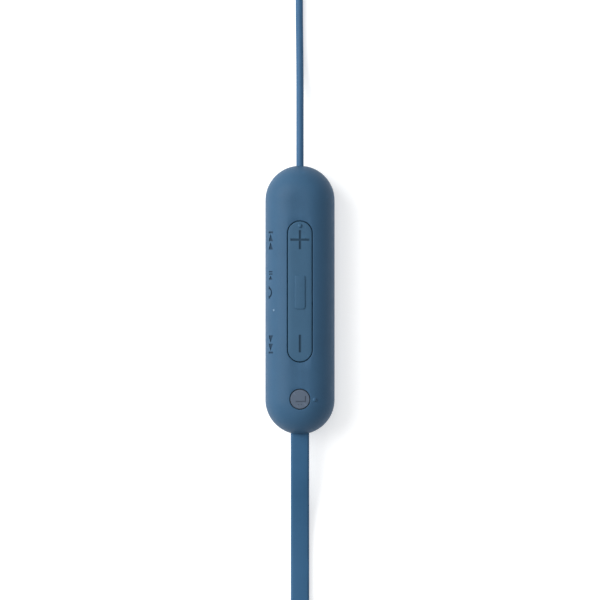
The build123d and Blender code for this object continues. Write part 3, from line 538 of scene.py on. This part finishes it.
def lower_profile():
    """The lower casing in section, from its outer bottom round the seam and lip to its inner bottom."""
    lip_out = HALF_WIDTH - WALL - LIP_PLAY
    lip_in = lip_out - LIP_THICKNESS
    lip_top = SEAM_Z + LIP_HEIGHT
    outer = [(x, z) for x, z in arc((LOWER_FLAT, SEAM_Z), LOWER_RADIUS, 270, 357.5)]
    edge = [
        (HALF_WIDTH, SEAM_Z - SEAM_HALF - SEAM_ROUND),
        (HALF_WIDTH - 0.3 * SEAM_ROUND, SEAM_Z - SEAM_HALF - 0.3 * SEAM_ROUND),
        (HALF_WIDTH - SEAM_ROUND, SEAM_Z - SEAM_HALF),
        (lip_out, SEAM_Z - SEAM_HALF),
        (lip_out, lip_top),
        (lip_in, lip_top),
        (lip_in, SEAM_Z - LIP_HEIGHT),
    ]
    inner = [(x, z) for x, z in arc((LOWER_FLAT, SEAM_Z), LOWER_RADIUS - WALL, 346, 270, 16)]
    return [(0, 0), (LOWER_FLAT / 2, 0), *outer, *edge, *inner, (0, WALL)]


def flank_place(x, y):
    """A frame on the left flank: its z points out of the surface and its x along +Y."""
    turn = asin((-x - UPPER_FLAT) / UPPER_RADIUS)
    columns = Matrix((
        (0, -cos(turn), -sin(turn)),
        (1, 0, 0),
        (0, -sin(turn), cos(turn)),
    )).to_4x4()
    return Matrix.Translation((x, y, SEAM_Z + UPPER_RADIUS * cos(turn))) @ columns


FLANK_X = -6.35 * MM
FLANK_DEPTH = 0.16 * MM
LENS_PLACE = flank_place(-5.7 * MM, -2.2 * MM)
LENS_RADIUS = 0.3 * MM
LENS_PLAY = 0.03 * MM
LENS_LENGTH = 2.0 * MM
LENS_RISE = 0.02 * MM
LENS_EDGE = 0.1 * MM
SKIP_SYMBOLS = [(12.85 * MM, 1), (-9.6 * MM, -1)]
PLAY_SYMBOL_Y = 5.3 * MM
CALL_SYMBOL_Y = 1.6 * MM


def scaled(points):
    """Points in millimetres as points in metres."""
    return [(x * MM, y * MM) for x, y in points]


def bar(x, y, width, height):
    """A rectangle's outline about a middle point."""
    return [
        (x - width / 2, y - height / 2),
        (x + width / 2, y - height / 2),
        (x + width / 2, y + height / 2),
        (x - width / 2, y + height / 2),
    ]


def flank_symbol_tools(bm):
    """Tools for the recessed symbols: two skips, play and pause, and a handset."""
    def sink(outline, y):
        prism(bm, scaled(outline), flank_place(FLANK_X, y), -FLANK_DEPTH, 3 * FLANK_DEPTH)

    for y, way in SKIP_SYMBOLS:
        for start in (-1.95, -0.15):
            sink([(way * start, -0.8), (way * (start + 1.6), 0), (way * start, 0.8)], y)
        sink(bar(way * 1.75, 0, 0.4, 1.6), y)
    sink([(-0.9, -0.65), (0.0, 0.0), (-0.9, 0.65)], PLAY_SYMBOL_Y)
    sink(bar(0.3, 0, 0.25, 1.3), PLAY_SYMBOL_Y)
    sink(bar(0.8, 0, 0.25, 1.3), PLAY_SYMBOL_Y)
    grip = arc((0, 0.7), 1.2, 205, 335, 12) + arc((0, 0.7), 0.8, 335, 205, 12)
    sink(grip, CALL_SYMBOL_Y)
    sink(bar(-1.0, 0.52, 0.62, 0.5), CALL_SYMBOL_Y)
    sink(bar(1.0, 0.52, 0.62, 0.5), CALL_SYMBOL_Y)


KEY_Y = 1.83 * MM
KEY_WINDOW = (30.6 * MM, 5.54 * MM)
KEY_GAP = 0.16 * MM
KEY_RIM = 0.16 * MM
POWER_Y = -21.4 * MM
POWER_WINDOW_RADIUS = 2.25 * MM
POWER_RIM = 0.12 * MM
POWER_DOT = (3.2 * MM, -21.5 * MM)
DOT_RADIUS = 0.56 * MM
DOT_RISE = 0.32 * MM
MIC_PORT = (3.4 * MM, 18.0 * MM, 0)
MIC_PORT_RADIUS = 0.4 * MM


def bump_tool(bm, x, y):
    """A low round bump on the pod's upper surface."""
    reach = max(abs(x) - UPPER_FLAT, 0)
    turn = asin(reach / UPPER_RADIUS)
    sink = DOT_RADIUS - DOT_RISE
    centre = (x - sink * sin(turn), y, pod_height(x, y) - sink * cos(turn))
    bmesh.ops.create_icosphere(bm, subdivisions=4, radius=DOT_RADIUS, matrix=Matrix.Translation(centre))


def make_casing(name, profile, centre, flat_end):
    """One half of a pod, with the cords' openings at its ends; it replaces the CAD shell name."""
    piece = make_object(
        slot_solid(profile, END_Y, centre), name.replace("shell", "casing"), [shell_plastic],
        "harness", [name],
    )
    tools = bmesh.new()
    cord_hole_tools(tools, flat_end, -flat_end, centre)
    combine(piece, tools, "DIFFERENCE")
    return piece


def control_casing():
    """The control pod's two halves, with the keys' windows, the symbols and the port's opening."""
    upper = make_casing("control_front_shell", upper_profile(), (0, 0), -1)
    windows = bmesh.new()
    half_width = KEY_WINDOW[1] / 2
    window_cutter(windows, KEY_WINDOW[0] / 2 - half_width, half_width, (0, KEY_Y), KEY_RIM)
    window_cutter(windows, 0, POWER_WINDOW_RADIUS, (0, POWER_Y), POWER_RIM)
    combine(upper, windows, "DIFFERENCE")
    symbols = bmesh.new()
    flank_symbol_tools(symbols)
    lens_hole = arc((0, 0), LENS_RADIUS + LENS_PLAY, 0, 345, 23)
    prism(symbols, lens_hole, LENS_PLACE, -2 * WALL, WALL / 2)
    # The symbols' and the lens hole's cut faces take the darker recess colour: painted shade.
    combine(upper, symbols, "DIFFERENCE", painted_recess_shade)
    dot = bmesh.new()
    bump_tool(dot, *POWER_DOT)
    combine(upper, dot, "UNION")
    finish_shading(upper)
    lower = make_casing("control_rear_shell", lower_profile(), (0, 0), -1)
    holes = bmesh.new()
    port = rounded_rectangle(PORT_WIDTH, PORT_HEIGHT, PORT_CORNER)
    sideways = Matrix.Translation((HALF_WIDTH - WALL, 0, SEAM_Z)) @ Matrix.Rotation(radians(90), 4, "Y")
    sideways = sideways @ Matrix.Rotation(radians(90), 4, "Z")
    prism(holes, port, sideways, -3 * WALL, 2 * WALL)
    microphone = Matrix.Translation(MIC_PORT)
    prism(holes, arc((0, 0), MIC_PORT_RADIUS, 0, 345, 23), microphone, -WALL, 2 * WALL)
    # The port's and the microphone hole's cut walls take the darker recess colour: painted shade.
    combine(lower, holes, "DIFFERENCE", painted_recess_shade)
    finish_shading(lower)


cover_low, cover_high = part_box("port_cover")
COVER_GAP = 0.12 * MM
PORT_WIDTH = cover_high.y - cover_low.y + 2 * COVER_GAP
PORT_HEIGHT = 2 * (SEAM_Z - cover_low.z + COVER_GAP)
PORT_CORNER = 0.9 * MM
COVER_ROUND = 0.25 * MM
COVER_TRIM = 0.02 * MM
COVER_THICKNESS = 0.8 * MM
COVER_ROWS = 18
COVER_COLUMNS = 40
PLUG_SIZE = (7.2 * MM, 2.0 * MM)
PLUG_CORNER = 0.66 * MM
PLUG_EDGE = 0.3 * MM
PLUG_BACK = -6.6 * MM
PLUG_TIP = -4.5 * MM
USB_HALF_HEIGHT = 1.63 * MM


def port_cover():
    """The rubber cover over the charging socket: a curved patch of the flank, and its plug."""
    low, high = cover_low, cover_high
    bm = bmesh.new()
    bottom_turn = asin((SEAM_Z - low.z - COVER_TRIM) / LOWER_RADIUS)
    top_turn = asin((SEAM_Z - high.z + COVER_TRIM) / LOWER_RADIUS)
    layers = []
    for is_inner in (False, True):
        layer = []
        for row in range(COVER_ROWS + 1):
            turn = bottom_turn + (top_turn - bottom_turn) * row / COVER_ROWS
            line = []
            for column in range(COVER_COLUMNS + 1):
                y = low.y + (high.y - low.y) * column / COVER_COLUMNS
                to_edge = min(
                    abs(turn - bottom_turn) * LOWER_RADIUS,
                    abs(turn - top_turn) * LOWER_RADIUS,
                    y - low.y,
                    high.y - y,
                )
                soft = max(0.0, 1 - to_edge / COVER_ROUND)
                drop = COVER_ROUND * (1 - sqrt(max(0.0, 1 - soft ** 2)))
                radius = LOWER_RADIUS - (COVER_THICKNESS if is_inner else drop)
                line.append(bm.verts.new((
                    LOWER_FLAT + radius * cos(turn), y, SEAM_Z - radius * sin(turn)
                )))
            layer.append(line)
        layers.append(layer)
    for layer in layers:
        for low_row, high_row in zip(layer, layer[1:]):
            for column in range(COVER_COLUMNS):
                after = column + 1
                bm.faces.new((low_row[column], low_row[after], high_row[after], high_row[column]))
    rim = [(0, column) for column in range(COVER_COLUMNS)]
    rim += [(row, COVER_COLUMNS) for row in range(COVER_ROWS)]
    rim += [(COVER_ROWS, column) for column in range(COVER_COLUMNS, 0, -1)]
    rim += [(row, 0) for row in range(COVER_ROWS, 0, -1)]
    outer, inner = ([layer[row][column] for row, column in rim] for layer in layers)
    for index in range(len(rim)):
        after = (index + 1) % len(rim)
        bm.faces.new((outer[index], outer[after], inner[after], inner[index]))
    piece = make_object(bm, "port_cover_rubber", [rubber], "port_flap", ["port_cover"])
    plug = bmesh.new()
    sideways = Matrix.Translation((0, 0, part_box("usb_shell")[0].z + USB_HALF_HEIGHT))
    sideways = sideways @ Matrix.Rotation(radians(90), 4, "Z") @ Matrix.Rotation(radians(90), 4, "X")
    inward = sideways @ Matrix.Scale(-1, 4, UP)
    rounded_block(plug, *PLUG_SIZE, PLUG_CORNER, inward, PLUG_BACK, PLUG_TIP, PLUG_EDGE)
    combine(piece, plug, "UNION")
    finish_shading(piece, 40)


# ================= keys =================
PLUS_Y = 13.0 * MM
MINUS_Y = -9.4 * MM
STROKE = 0.5 * MM
KEY_DOT_Y = 16.0 * MM
MARK_DEPTH = 0.16 * MM
PLUS_ARM = 4.1 * MM
MINUS_LENGTH = 3.8 * MM
KEY_ROUND = 0.2 * MM
KEY_THICKNESS = 1.1 * MM
KEY_SKIRT_WALL = 0.45 * MM
KEY_SKIRT_DEPTH = 0.6 * MM
KEY_FLANGE_REACH = 0.6 * MM
KEY_FLANGE_THICKNESS = 0.3 * MM
BAR_SIZE = (2.2 * MM, 7.3 * MM)
BAR_Y = 1.7 * MM
BAR_CORNER = 0.5 * MM
BAR_SINK = 0.4 * MM
BAR_HEIGHT = 0.22 * MM
BAR_EDGE = 0.12 * MM
PLUNGER_RADIUS = 0.9 * MM
PLUNGER_BOTTOM = 8.2 * MM
PLUNGER_SINK = 0.2 * MM


def key_plate():
    """The long rocker: its top follows the pod, with plus and minus cut in and a raised bar."""
    half_width = KEY_WINDOW[1] / 2 - KEY_GAP
    half_line = (KEY_WINDOW[0] - KEY_WINDOW[1]) / 2
    rings = [(half_width * share, ("on", 0.0)) for share in (0, 0.3, 0.55, 0.75)]
    rings += [
        (half_width - KEY_ROUND + x, ("on", y - KEY_ROUND))
        for x, y in arc((0, 0), KEY_ROUND, 90, 0, 6)
    ]
    underside = TOP_Z - KEY_THICKNESS
    flange_top = underside - KEY_SKIRT_DEPTH
    flange_bottom = flange_top - KEY_FLANGE_THICKNESS
    flange_half, inner_half = half_width + KEY_FLANGE_REACH, half_width - KEY_SKIRT_WALL
    rings += [(half_width, flange_top), (flange_half, flange_top), (flange_half, flange_bottom)]
    rings += [(inner_half, flange_bottom), (inner_half, underside), (0, underside)]
    piece = make_object(
        slot_solid(rings, half_line, (0, KEY_Y)), "rocker_key", [key_plastic], "volume_rocker",
        ["key_plate"],
    )
    marks = bmesh.new()
    flat = Matrix.Translation((0, 0, TOP_Z))
    arm = PLUS_ARM / 2
    half = STROKE / 2
    plus = [
        (half, half), (arm, half), (arm, -half), (half, -half), (half, -arm), (-half, -arm),
        (-half, -half), (-arm, -half), (-arm, half), (-half, half), (-half, arm), (half, arm),
    ]
    prism(marks, [(x, y + PLUS_Y) for x, y in plus], flat, -MARK_DEPTH, WALL)
    prism(marks, bar(0, MINUS_Y, STROKE, MINUS_LENGTH), flat, -MARK_DEPTH, WALL)
    # The plus and minus take the darker mark colour on their cut faces: painted shade.
    combine(piece, marks, "DIFFERENCE", key_mark_painted_shade)
    raised = bmesh.new()
    place = Matrix.Translation((0, BAR_Y, TOP_Z))
    rounded_block(raised, *BAR_SIZE, BAR_CORNER, place, -BAR_SINK, BAR_HEIGHT, BAR_EDGE)
    bump_tool(raised, 0, KEY_DOT_Y)
    for y in (PLUS_Y, MINUS_Y):
        plunger = Matrix.Translation((0, y, 0))
        outline = arc((0, 0), PLUNGER_RADIUS, 0, 345, 23)
        prism(raised, outline, plunger, PLUNGER_BOTTOM, underside + PLUNGER_SINK)
    combine(piece, raised, "UNION")
    finish_shading(piece)


POWER_RADIUS = 2.08 * MM
POWER_ROUND = 0.12 * MM
POWER_THICKNESS = 1.15 * MM
POWER_FLANGE_RADIUS = 2.6 * MM
POWER_FLANGE_THICKNESS = 0.5 * MM
POWER_BOTTOM = 7.6 * MM
POWER_MARK_DEPTH = 0.07 * MM
POWER_MARK_DOT = 0.14 * MM
POWER_MARK_DOT_Y = -1.15 * MM


def power_key():
    """The round power key with a faint recessed mark, and the flange that keeps it in."""
    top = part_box("power_button")[1].z
    flange_top = top - POWER_THICKNESS
    flange_bottom = flange_top - POWER_FLANGE_THICKNESS
    rings = [(0, top), (POWER_RADIUS * 0.5, top), (POWER_RADIUS * 0.85, top)]
    rings += [
        (POWER_RADIUS - POWER_ROUND + x, top + y - POWER_ROUND)
        for x, y in arc((0, 0), POWER_ROUND, 90, 0, 6)
    ]
    rings += [(POWER_RADIUS, flange_top), (POWER_FLANGE_RADIUS, flange_top)]
    rings += [(POWER_FLANGE_RADIUS, flange_bottom), (PLUNGER_RADIUS, flange_bottom)]
    rings += [(PLUNGER_RADIUS, POWER_BOTTOM), (0, POWER_BOTTOM)]
    piece = make_object(
        slot_solid(rings, 0, (0, POWER_Y)), "power_key_cap", [power_plastic], "power_key",
        ["power_button"],
    )
    marks = bmesh.new()
    flat = Matrix.Translation((0, POWER_Y, top))
    stem = [(-0.95, -0.62), (1.33, -0.62), (1.33, 0.7), (1.07, 0.7), (1.07, -0.36), (-0.95, -0.36)]
    prism(marks, scaled(stem), flat, -POWER_MARK_DEPTH, WALL)
    for x in (-0.35 * MM, 0.3 * MM):
        outline = arc((x, POWER_MARK_DOT_Y), POWER_MARK_DOT, 0, 330, 11)
        prism(marks, outline, flat, -POWER_MARK_DEPTH, WALL)
    # The mark's cut faces take the darker mark colour: painted shade.
    combine(piece, marks, "DIFFERENCE", power_mark_painted_shade)
    finish_shading(piece)


def indicator():
    """The light's lens in the left flank, its end a little domed."""
    bm = bmesh.new()
    rounded_block(
        bm, 2 * LENS_RADIUS, 2 * LENS_RADIUS, LENS_RADIUS * 0.98, LENS_PLACE,
        -LENS_LENGTH, LENS_RISE, LENS_EDGE,
    )
    make_object(bm, "indicator_window", [lens_plastic], "harness", ["indicator_lens"])


# ================= cords =================
def route_spline(name, points):
    """A curve object of one smooth NURBS spline through a route's control points."""
    data = bpy.data.curves.new(name, "CURVE")
    data.dimensions = "3D"
    data.resolution_u = 12
    spline = data.splines.new("NURBS")
    spline.points.add(len(points) - 1)
    for point, place in zip(spline.points, points):
        point.co = (*place, 1)
    spline.order_u = 3
    spline.use_endpoint_u = True
    curve = bpy.data.objects.new(name, data)
    bpy.context.scene.collection.objects.link(curve)
    return curve


def spline_length(curve):
    """The length of a curve's line and the points along it."""
    mesh = bpy.data.meshes.new_from_object(curve)
    points = [vertex.co.copy() for vertex in mesh.vertices]
    bpy.data.meshes.remove(mesh)
    return sum((b - a).length for a, b in zip(points, points[1:])), points


def coil_points():
    """Four turns, clockwise seen from above, from the coil's left side. Each turn moves to the
    next one's radius and height in its last stretch."""
    bulge = 1 / cos(pi / COIL_POINTS)
    points = []
    turns = len(COIL_RADII)
    for step in range(1, turns * COIL_POINTS):
        turn, share = divmod(step / COIL_POINTS, 1)
        index = int(turn)
        after = min(index + 1, turns - 1)
        move = max(0.0, (share - COIL_SHIFT_START) / (1 - COIL_SHIFT_START))
        radius = COIL_RADII[index] + (COIL_RADII[after] - COIL_RADII[index]) * move
        height = COIL_HEIGHTS[index] + (COIL_HEIGHTS[after] - COIL_HEIGHTS[index]) * move
        angle = pi - 2 * pi * share
        points.append((
            COIL_CENTRE[0] + bulge * radius * cos(angle),
            COIL_CENTRE[1] + bulge * radius * sin(angle),
            height,
        ))
    points.append((*THIN_RUN[-1][:2], COIL_HEIGHTS[-1]))
    return points


def thin_cord():
    """The round ear lead, from the control pod through its coil to the earbud's boot."""
    curve = route_spline("ear_lead", THIN_RUN + coil_points() + THIN_LEAD)
    length, _ = spline_length(curve)
    curve.data.bevel_depth = THIN / 2
    curve.data.bevel_resolution = 8
    curve.data.use_fill_caps = True
    curve.data.materials.append(thin_jacket)
    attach(curve, "harness")
    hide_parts("thin_cord_run", "thin_cord_coil", "thin_cord_lead")


def smooth_share(value):
    """0 to 1 with soft ends."""
    value = min(1.0, max(0.0, value))
    return value * value * (3 - 2 * value)


# The stretches where the flat cord turns: their start from the near pod or end, and length.
FIRST_TWIST = (0.0418, 0.0180)
LAST_TWIST = (0.0045, 0.0170)


def flat_cord(clip):
    """The neck cord: a flat section that turns on its edge for the loop, and back for the pod."""
    route = FLAT_RUN + TWIST_RUN + [(x, y, LOOP_Z) for x, y in LOOP_RUN] + RISE_RUN
    guide = route_spline("neck_cord_route", route)
    length, points = spline_length(guide)
    bpy.data.objects.remove(guide)
    section = rounded_rectangle(FLAT_WIDTH, FLAT_THICKNESS, FLAT_EDGE, 5)
    bm = bmesh.new()
    rings = []
    gone = 0.0
    for index, point in enumerate(points):
        before = points[max(index - 1, 0)]
        after = points[min(index + 1, len(points) - 1)]
        if index:
            gone += (point - before).length
        along = (after - before).normalized()
        across = along.cross(UP).normalized()
        turned = smooth_share((gone - FIRST_TWIST[0]) / FIRST_TWIST[1])
        turned *= smooth_share((length - gone - LAST_TWIST[0]) / LAST_TWIST[1])
        spin = Matrix.Rotation(radians(90) * turned, 3, along)
        wide, thick = spin @ across, spin @ across.cross(along)
        rings.append([bm.verts.new(point + wide * u + thick * v) for u, v in section])
    count = len(section)
    for near, far in zip(rings, rings[1:]):
        for index in range(count):
            after = (index + 1) % count
            bm.faces.new((near[index], near[after], far[after], far[index]))
    bm.faces.new(rings[0])
    bm.faces.new(list(reversed(rings[-1])))
    bmesh.ops.remove_doubles(bm, verts=bm.verts, dist=1e-8)
    cord = make_object(
        bm, "neck_cord", [flat_jacket], "harness",
        ["flat_cord_run", "flat_cord_twist", "flat_cord_loop", "flat_cord_rise"],
    )


CLIP_WALL = 0.45 * MM
CLIP_CORNER = 0.7 * MM
CLIP_INNER_CORNER = 0.35 * MM
CLIP_EDGE = 0.1 * MM


def cord_clip():
    """A moulded clip that holds two strands of the neck cord side by side."""
    low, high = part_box("cord_clip")
    width = high.x - low.x
    inner_width, inner_height = width - 2 * CLIP_WALL, high.z - CLIP_WALL
    outer = rounded_rectangle(width, 2 * high.z, CLIP_CORNER, 8)
    inner = rounded_rectangle(inner_width, 2 * inner_height, CLIP_INNER_CORNER, 8)
    outer = [(x, y) for x, y in outer if y > 0]
    inner = [(x, y) for x, y in inner if y > 0]
    outline = [(width / 2, 0), *outer, (-width / 2, 0)]
    outline += [(-inner_width / 2, 0), *reversed(inner), (inner_width / 2, 0)]
    middle = Matrix.Translation(((low.x + high.x) / 2, high.y, 0))
    place = middle @ Matrix.Rotation(radians(90), 4, "X")
    bm = bmesh.new()
    prism(bm, outline, place, 0, high.y - low.y)
    piece = make_object(bm, "neck_cord_clip", [rubber], "harness", ["cord_clip"])
    bevel = piece.modifiers.new("edges", "BEVEL")
    bevel.width = CLIP_EDGE
    bevel.segments = 3
    bevel.angle_limit = radians(50)
    bevel.use_clamp_overlap = True
    return piece


# ================= earbud =================
BUD = Vector((3.0 * MM, 105.5 * MM, 5.85 * MM))
LATHE_STEPS = 96

# The earbud's own sizes are in millimetres along and from its axis, as lathe takes them.
BUD_RADIUS = 5.7
BUD_WALL = 0.8
BUD_BACK = -5.4
BUD_BACK_FLAT = 3.2
BUD_BACK_ROUND = 2.5
NOZZLE_RADIUS = 2.6
NOZZLE_BORE = 1.9
RING_RADIUS = 2.3 * MM
RING_DEPTH = 0.1 * MM
BOOT_SINK = 0.02
BOOT_CUT = 12 * MM


def lathe(profile, origin, axis, name, material, body, replaced, angle=32.0, closed=True):
    """Turns an outline of (along, radius) points in millimetres about an axis through origin."""
    bm = bmesh.new()
    along = Vector(axis).normalized()
    first = along.orthogonal().normalized()
    second = along.cross(first)
    rings = []
    for distance, radius in profile:
        ring = []
        for step in range(LATHE_STEPS):
            turn = 2 * pi * step / LATHE_STEPS
            ring.append(bm.verts.new(
                origin + MM * (distance * along + radius * (cos(turn) * first + sin(turn) * second))
            ))
        rings.append(ring)
    pairs = list(zip(rings, rings[1:]))
    if closed:
        pairs.append((rings[-1], rings[0]))
    for near, far in pairs:
        for index in range(LATHE_STEPS):
            after = (index + 1) % LATHE_STEPS
            bm.faces.new((near[index], near[after], far[after], far[index]))
    bmesh.ops.remove_doubles(bm, verts=bm.verts, dist=1e-7)
    return make_object(bm, name, [material], body, replaced, angle)


def bud_rear():
    """The earbud's rear housing, with a shallow round recess in its back."""
    corner = (BUD_BACK + BUD_BACK_ROUND, BUD_BACK_FLAT)
    radius, inner = BUD_RADIUS, BUD_RADIUS - BUD_WALL
    profile = [(BUD_BACK, 0.0), (BUD_BACK, BUD_BACK_FLAT / 2), (BUD_BACK, BUD_BACK_FLAT)]
    profile += arc(corner, BUD_BACK_ROUND, 180, 90, 14)
    profile += [(-2.0, radius), (-1.5, radius), (-1.42, radius - 0.12), (-1.26, radius - 0.12)]
    profile += [(-1.18, radius), (-0.2, radius), (-0.08, radius - 0.04), (-0.05, radius - 0.14)]
    profile += [(-0.05, inner), (corner[0], inner)]
    profile += arc(corner, BUD_BACK_ROUND - BUD_WALL, 90, 180, 8)
    profile += [(BUD_BACK + BUD_WALL, 0.0)]
    piece = lathe(
        profile, BUD, (1, 0, 0), "earbud_back", shell_plastic, "harness",
        ["bud_rear_housing"], closed=False,
    )
    ring = bmesh.new()
    back = Matrix.Translation(BUD + Vector((BUD_BACK * MM, 0, 0)))
    place = back @ Matrix.Rotation(radians(-90), 4, "Y")
    prism(ring, arc((0, 0), RING_RADIUS, 0, 356, 89), place, -RING_DEPTH, WALL)
    combine(piece, ring, "DIFFERENCE", key_plastic)
    finish_shading(piece)


def bud_front():
    """The earbud's front housing and its nozzle, which ends in a barb for the ear tip."""
    radius, inner = BUD_RADIUS, BUD_RADIUS - BUD_WALL
    shoulder = []
    for step in range(15):
        turn = radians(90 * step / 14)
        shoulder.append((1.0 + 3.6 * sin(turn), NOZZLE_RADIUS + (radius - NOZZLE_RADIUS) * cos(turn)))
    profile = [(0.05, inner), (0.05, radius - 0.14), (0.08, radius - 0.04), (0.2, radius), *shoulder]
    profile += [(9.2, NOZZLE_RADIUS), (9.35, 2.68), (9.5, 2.75), (10.0, 2.55), (10.2, 2.4)]
    profile += [(10.2, NOZZLE_BORE + 0.05), (10.1, NOZZLE_BORE), (4.2, NOZZLE_BORE), (1.2, inner)]
    lathe(
        profile, BUD, (1, 0, 0), "earbud_front", shell_plastic, "harness",
        ["bud_front_housing"],
    )


def ear_tip():
    """The silicone tip: a mushroom skirt round a sleeve that grips the nozzle."""
    outer = []
    for step in range(25):
        share = step / 24
        angle = radians(12 + 78 * (1 - share))
        outer.append((5.35 + 6.05 * sin(angle) ** 1.15, 2.35 + 3.42 * cos(angle) ** 0.8))
    profile = [(10.4, 2.85), (10.4, 1.95), (11.2, 1.95), (11.38, 2.1), *outer]
    profile += [(5.3, 5.75), (5.32, 5.45), (5.5, 5.3), (7.5, 4.95), (8.9, 4.4), (10.0, 3.5)]
    profile += [(9.9, 3.42), (5.45, 3.4), (5.3, 3.3), (5.3, 2.95), (5.45, 2.85)]
    lathe(
        profile, BUD, (1, 0, 0), "ear_tip_silicone", silicone, "silicone_tip",
        ["ear_tip"], 40.0,
    )


def cable_boot():
    """The ribbed strain relief between the earbud and its lead."""
    profile = [(3.2, 0.0), (3.2, 1.85), (6.6, 1.85), (6.9, 1.8)]
    for rib in range(6):
        start = 7.1 + 0.8 * rib
        radius = 1.78 - 0.1 * rib
        profile += [(start, radius - 0.22), (start + 0.22, radius - 0.22)]
        profile += [(start + 0.3, radius), (start + 0.68, radius - 0.05)]
    profile += [(11.95, 1.1), (12.0, 1.0), (12.0, 0.0)]
    origin = BUD + Vector((-1.8 * MM, 0, 0))
    piece = lathe(
        profile, origin, (0, -1, 0), "earbud_boot", rubber, "harness", ["cable_boot"],
        closed=False,
    )
    inside = bmesh.new()
    place = Matrix.Translation(BUD) @ Matrix.Rotation(radians(90), 4, "Y")
    cutter = arc((0, 0), (BUD_RADIUS - BOOT_SINK) * MM, 0, 357, 119)
    prism(inside, cutter, place, -BOOT_CUT, BOOT_CUT)
    combine(piece, inside, "DIFFERENCE")
    finish_shading(piece)


# ================= inner nodes keep their CAD shape =================
CAD_EDGE = 0.03 * MM
CAD_FINISHES = {
    "main_board": board_mask,
    "protection_board": board_mask,
    "radio_chip": chip_epoxy,
    "power_chip": chip_epoxy,
    "small_components": chip_epoxy,
    "chip_antenna": chip_epoxy,
    "indicator_led": lens_plastic,
    "shield_can": plated_steel,
    "usb_shell": plated_steel,
    "board_screws": plated_steel,
    "driver_yoke": plated_steel,
    "driver_magnet": magnet_plate,
    "voice_coil": copper,
    "lead_wires": copper,
    "diaphragm": film,
    "foam_pad": film,
    "battery_cell": cell_wrap,
    "nozzle_mesh": nozzle_cloth,
    "microphone_sleeve": rubber,
    "control_thin_grommet": rubber,
    "control_flat_grommet": rubber,
    "battery_flat_grommet": rubber,
    "battery_outlet_gland": rubber,
}


def finish_cad_nodes():
    """Gives the visible CAD nodes their materials and slightly rounded edges."""
    for name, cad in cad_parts.items():
        if cad.hide_render:
            continue
        cad.data.materials.clear()
        cad.data.materials.append(CAD_FINISHES.get(name, inner_plastic))
        edges = cad.modifiers.new("edges", "BEVEL")
        edges.width = CAD_EDGE
        edges.segments = 2
        edges.angle_limit = radians(50)


make_camera()
make_lights()
make_floor()
thin_cord()
flat_cord(cord_clip())
control_casing()
key_plate()
power_key()
indicator()
port_cover()
for part_name, part_profile in (
    ("battery_front_shell", upper_profile()),
    ("battery_rear_shell", lower_profile()),
):
    finish_shading(make_casing(part_name, part_profile, BATTERY_POD, 1))
bud_rear()
bud_front()
ear_tip()
cable_boot()
finish_cad_nodes()
